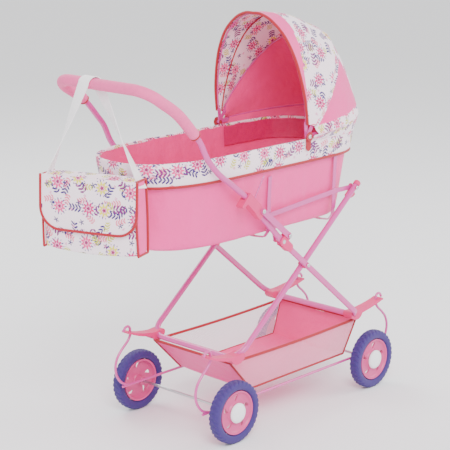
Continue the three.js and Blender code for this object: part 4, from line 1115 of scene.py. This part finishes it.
class STROLLER_OT_bag(bpy.types.Operator):
    """Shoulder bag: sagging printed body, flap with a red edge, and a webbing strap"""

    bl_idname = "stroller.bag"
    bl_label = "Bag"

    def execute(self, context):
        self.body()
        self.cover()
        self.flap()
        self.strap()
        return {"FINISHED"}

    def half_depth(self, t):
        return 19.5 + 4 * math.sin(math.pi * (0.12 + 0.8 * (1 - t)))

    def plan(self, turn, t):
        """Plan of the bag; t runs from its floor to its top."""
        c, s = math.cos(turn), math.sin(turn)
        return (math.copysign((103 - 3 * t) * abs(c) ** 0.28, c),
                math.copysign(self.half_depth(t) * abs(s) ** 0.34, s))

    def body(self):
        """Open-topped body: printed front and back, satin gussets, sagging a little in the middle."""
        levels = [(0.0, 0), (0.5, 0), (0.9, 0), (0.98, 0.012), (1, 0.04)]
        levels += [(1, 0.04 + 0.96 * i / 22) for i in range(1, 23)]
        outlines = []
        for _, t in levels:
            turns = [i / 120 * math.pi for i in range(241)]
            outlines.append(even_route([Vector((*self.plan(turn, t), 0)) for turn in turns], 168))

        def place(u, v):
            share, t = levels[round(v * (len(levels) - 1))]
            along, out, _ = outlines[round(v * (len(levels) - 1))][round(u * 168) % 168]
            sag = -5 * math.cos(along / 103 * math.pi / 2) * (1 - t)
            scale = share * (1 + noise.noise(Vector((along * 0.028, out * 0.03, t * 3))) * 0.03)
            return on_bag(along * share, out * scale, BAG_TOP - 142 + 142 * t + sag)

        def flat(u, v):
            share, t = levels[round(v * (len(levels) - 1))]
            return u * 0.49, t * 0.142 + share * 0.03

        body = surface("printed_bag_body", 168, len(levels) - 1, place, flat,
                       closed=True, thickness=size("fabric"))
        middle, along_bag = on_bag(0, 0, 0), on_bag(1, 0, 0) - on_bag(0, 0, 0)
        for face in body.data.polygons:
            if abs((face.center - middle).dot(along_bag)) / MM / MM > 98.5:
                face.material_index = 2
        done(body, "bag", MATERIALS["print"], MATERIALS["lining"], MATERIALS["satin"], MATERIALS["lining"],
             replaces=["bag_body"])
        for label, side in (("right", -1), ("left", 1)):
            for edge_name, edge in (("inner", -1), ("outer", 1)):
                line = [on_bag(side * (101.5 - 3 * i / 24), edge * (self.half_depth(i / 24) - 1),
                               BAG_TOP - 141 + 140 * i / 24) for i in range(25)]
                done(sweep(f"bag_{label}_{edge_name}_piping", line, round_section(2.4), around=8), "bag",
                     MATERIALS["tape"])
            for level_name, z, t in (("low", BAG_TOP - 141, 0), ("high", BAG_TOP, 1)):
                half = self.half_depth(t) - 1
                along = side * (101.5 - 3 * t)
                line = even_route([on_bag(along, -half, z), on_bag(along, half, z)], 8)
                done(sweep(f"bag_{label}_{level_name}_piping", line, round_section(2.4), around=8), "bag",
                     MATERIALS["tape"])

    def cover(self):
        """The part of the flap that lies over the bag's top."""
        def place(u, v):
            along, out = (2 * u - 1) * 98, (2 * v - 1) * 21.5
            crown = 4 * math.cos((v - 0.5) * math.pi) * (1 - (2 * u - 1) ** 4)
            return on_bag(along, out, BAG_TOP + 0.6 + crown)

        cover = surface("printed_bag_cover", 60, 14, place, lambda u, v: (u * 0.196, v * 0.045), thickness=1)
        done(cover, "bag", MATERIALS["print"], MATERIALS["lining"])
        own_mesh(cover)

    def flap_edge(self, down):
        height, corner, half = 104, 42, 103
        if down <= height - corner:
            return half
        t = min(1, (down - height + corner) / corner)
        return half - corner + corner * math.sqrt(max(0, 1 - t * t))

    def flap_spot(self, across, down):
        half = self.flap_edge(down)
        t = 1 - down / 147
        depth = 21.5 + 4 * math.sin(math.pi * (0.12 + 0.8 * (1 - t)))
        curl = 2.5 * (down / 104) ** 2
        return on_bag(across * half, depth + curl + 1.5 * math.cos(across * math.pi / 2), BAG_TOP + 1 - down)

    def flap(self):
        downs = [104 * math.sin(i / 30 * math.pi / 2) for i in range(31)]
        flap = surface("printed_bag_flap", 80, 30,
                       lambda u, v: self.flap_spot(2 * u - 1, downs[round(v * 30)]),
                       lambda u, v: (u * 0.206, -downs[round(v * 30)] * MM), thickness=1.2)
        facing = sum(p.normal.dot(on_bag(0, 1, 0) - on_bag(0, 0, 0)) for p in flap.data.polygons)
        if facing < 0:
            edit_all(flap, bpy.ops.mesh.flip_normals)
        done(flap, "bag_flap", MATERIALS["print"], MATERIALS["lining"], replaces=["bag_flap"])
        line = [self.flap_spot(-1, d) for d in downs]
        line += [self.flap_spot(-1 + 2 * i / 20, 104) for i in range(1, 20)]
        line += [self.flap_spot(1, d) for d in reversed(downs)]
        done(sweep("bag_flap_piping", even_route(line, 140), round_section(2.7), around=10), "bag_flap",
             MATERIALS["tape"])

    def strap(self):
        across, grip_way = on_bag(0, 1, 0) - on_bag(0, 0, 0), Vector((0, -1, 0))
        across.normalize()
        wrap = []
        for i in range(25):
            turn = math.pi * (1 - i / 24)
            wrap.append(at(BAR[0] + 13.4 * math.cos(turn), 33 - 10 * i / 24, BAR[2] + 13.4 * math.sin(turn)))
        line, sides = [], []
        for i in range(40):
            t = i / 40
            line.append(on_bag(102.2, 0, BAG_TOP - 14).lerp(wrap[0], t))
            sides.append(across.lerp(grip_way, t))
        line += wrap
        sides += [grip_way] * len(wrap)
        for i in range(1, 41):
            t = i / 40
            line.append(wrap[-1].lerp(on_bag(-102.2, 0, BAG_TOP - 14), t))
            sides.append(grip_way.lerp(across, t))
        strap = sweep("webbing_strap", line, strip_section(28, 1.5), sides, around=20)
        done(strap, "bag", MATERIALS["webbing"], replaces=["bag_strap"])


# ---- stage -------------------------------------------------------------------------------


class STROLLER_OT_stage(bpy.types.Operator):
    """Pale floor, soft lights and the camera; finishes for the frame's own nodes"""

    bl_idname = "stroller.stage"
    bl_label = "Stage"

    def execute(self, context):
        make_materials()
        slots = {row["node"]: row["material_slot"] for row in frame["record"]["subparts"]}
        for name, obj in frame["nodes"].items():
            obj.data.materials.clear()
            key = "tape" if name.endswith("hood_pivot") else NODE_MATERIALS[slots[name]]
            obj.data.materials.append(MATERIALS[key])
        bpy.ops.object.select_all(action="DESELECT")
        bpy.ops.mesh.primitive_plane_add(size=30, location=(0, 0, 0))
        floor = bpy.context.object
        floor.name = "studio_floor"
        pale = bpy.data.materials.new("matt_backdrop")
        pale.use_nodes = True
        pale.node_tree.nodes["Principled BSDF"].inputs["Base Color"].default_value = linear("#f6f6f8")
        pale.node_tree.nodes["Principled BSDF"].inputs["Roughness"].default_value = 0.9
        floor.data.materials.append(pale)
        world = bpy.data.worlds.new("studio")
        context.scene.world = world
        world.use_nodes = True
        sky = world.node_tree.nodes["Background"]
        sky.inputs[0].default_value = linear("#ffffff")
        sky.inputs[1].default_value = 1.35
        lamps = (("key_light", (-1.8, -2.2, 2.6), 115, 1.4), ("fill_light", (2.4, -1.6, 1.8), 48, 1.6),
                 ("back_light", (0.5, 2.4, 2.4), 46, 1.6))
        for name, place, energy, width in lamps:
            bpy.ops.object.light_add(type="AREA", location=place)
            lamp = context.object
            lamp.name = name
            lamp.data.energy = energy
            lamp.data.size = width
            lamp.rotation_euler = (Vector((0, 0, 0.4)) - lamp.location).to_track_quat("-Z", "Y").to_euler()
        place, target = at(-2044, -2039, 1154), at(122, 0, 405)
        bpy.ops.object.camera_add(location=place)
        camera = context.object
        camera.rotation_euler = (target - place).to_track_quat("-Z", "Y").to_euler()
        camera.data.sensor_width = 36
        camera.data.lens = 118.5
        context.scene.camera = camera
        return {"FINISHED"}


class STROLLER_PT_panel(bpy.types.Panel):
    bl_label = "Doll Stroller"
    bl_idname = "STROLLER_PT_panel"
    bl_space_type = "VIEW_3D"
    bl_region_type = "UI"
    bl_category = "Stroller"

    def draw(self, context):
        for name in StrollerSizes.__annotations__:
            self.layout.prop(context.scene.stroller_sizes, name)
        for name in StrollerColours.__annotations__:
            self.layout.prop(context.scene.stroller_colours, name)
        for operator in OPERATORS:
            self.layout.operator(operator.bl_idname)


OPERATORS = (STROLLER_OT_stage, STROLLER_OT_wheels, STROLLER_OT_frame, STROLLER_OT_handle, STROLLER_OT_rivets,
             STROLLER_OT_cot, STROLLER_OT_hood, STROLLER_OT_basket, STROLLER_OT_bag)
CLASSES = (StrollerSizes, StrollerColours, *OPERATORS, STROLLER_PT_panel)


def register():
    for cls in CLASSES:
        bpy.utils.register_class(cls)
    bpy.types.Scene.stroller_sizes = bpy.props.PointerProperty(type=StrollerSizes)
    bpy.types.Scene.stroller_colours = bpy.props.PointerProperty(type=StrollerColours)


def unregister():
    del bpy.types.Scene.stroller_sizes
    del bpy.types.Scene.stroller_colours
    for cls in reversed(CLASSES):
        bpy.utils.unregister_class(cls)


def main():
    register()
    for operator in OPERATORS:
        group, name = operator.bl_idname.split(".")
        getattr(getattr(bpy.ops, group), name)()


if __name__ == "__main__":
    main()
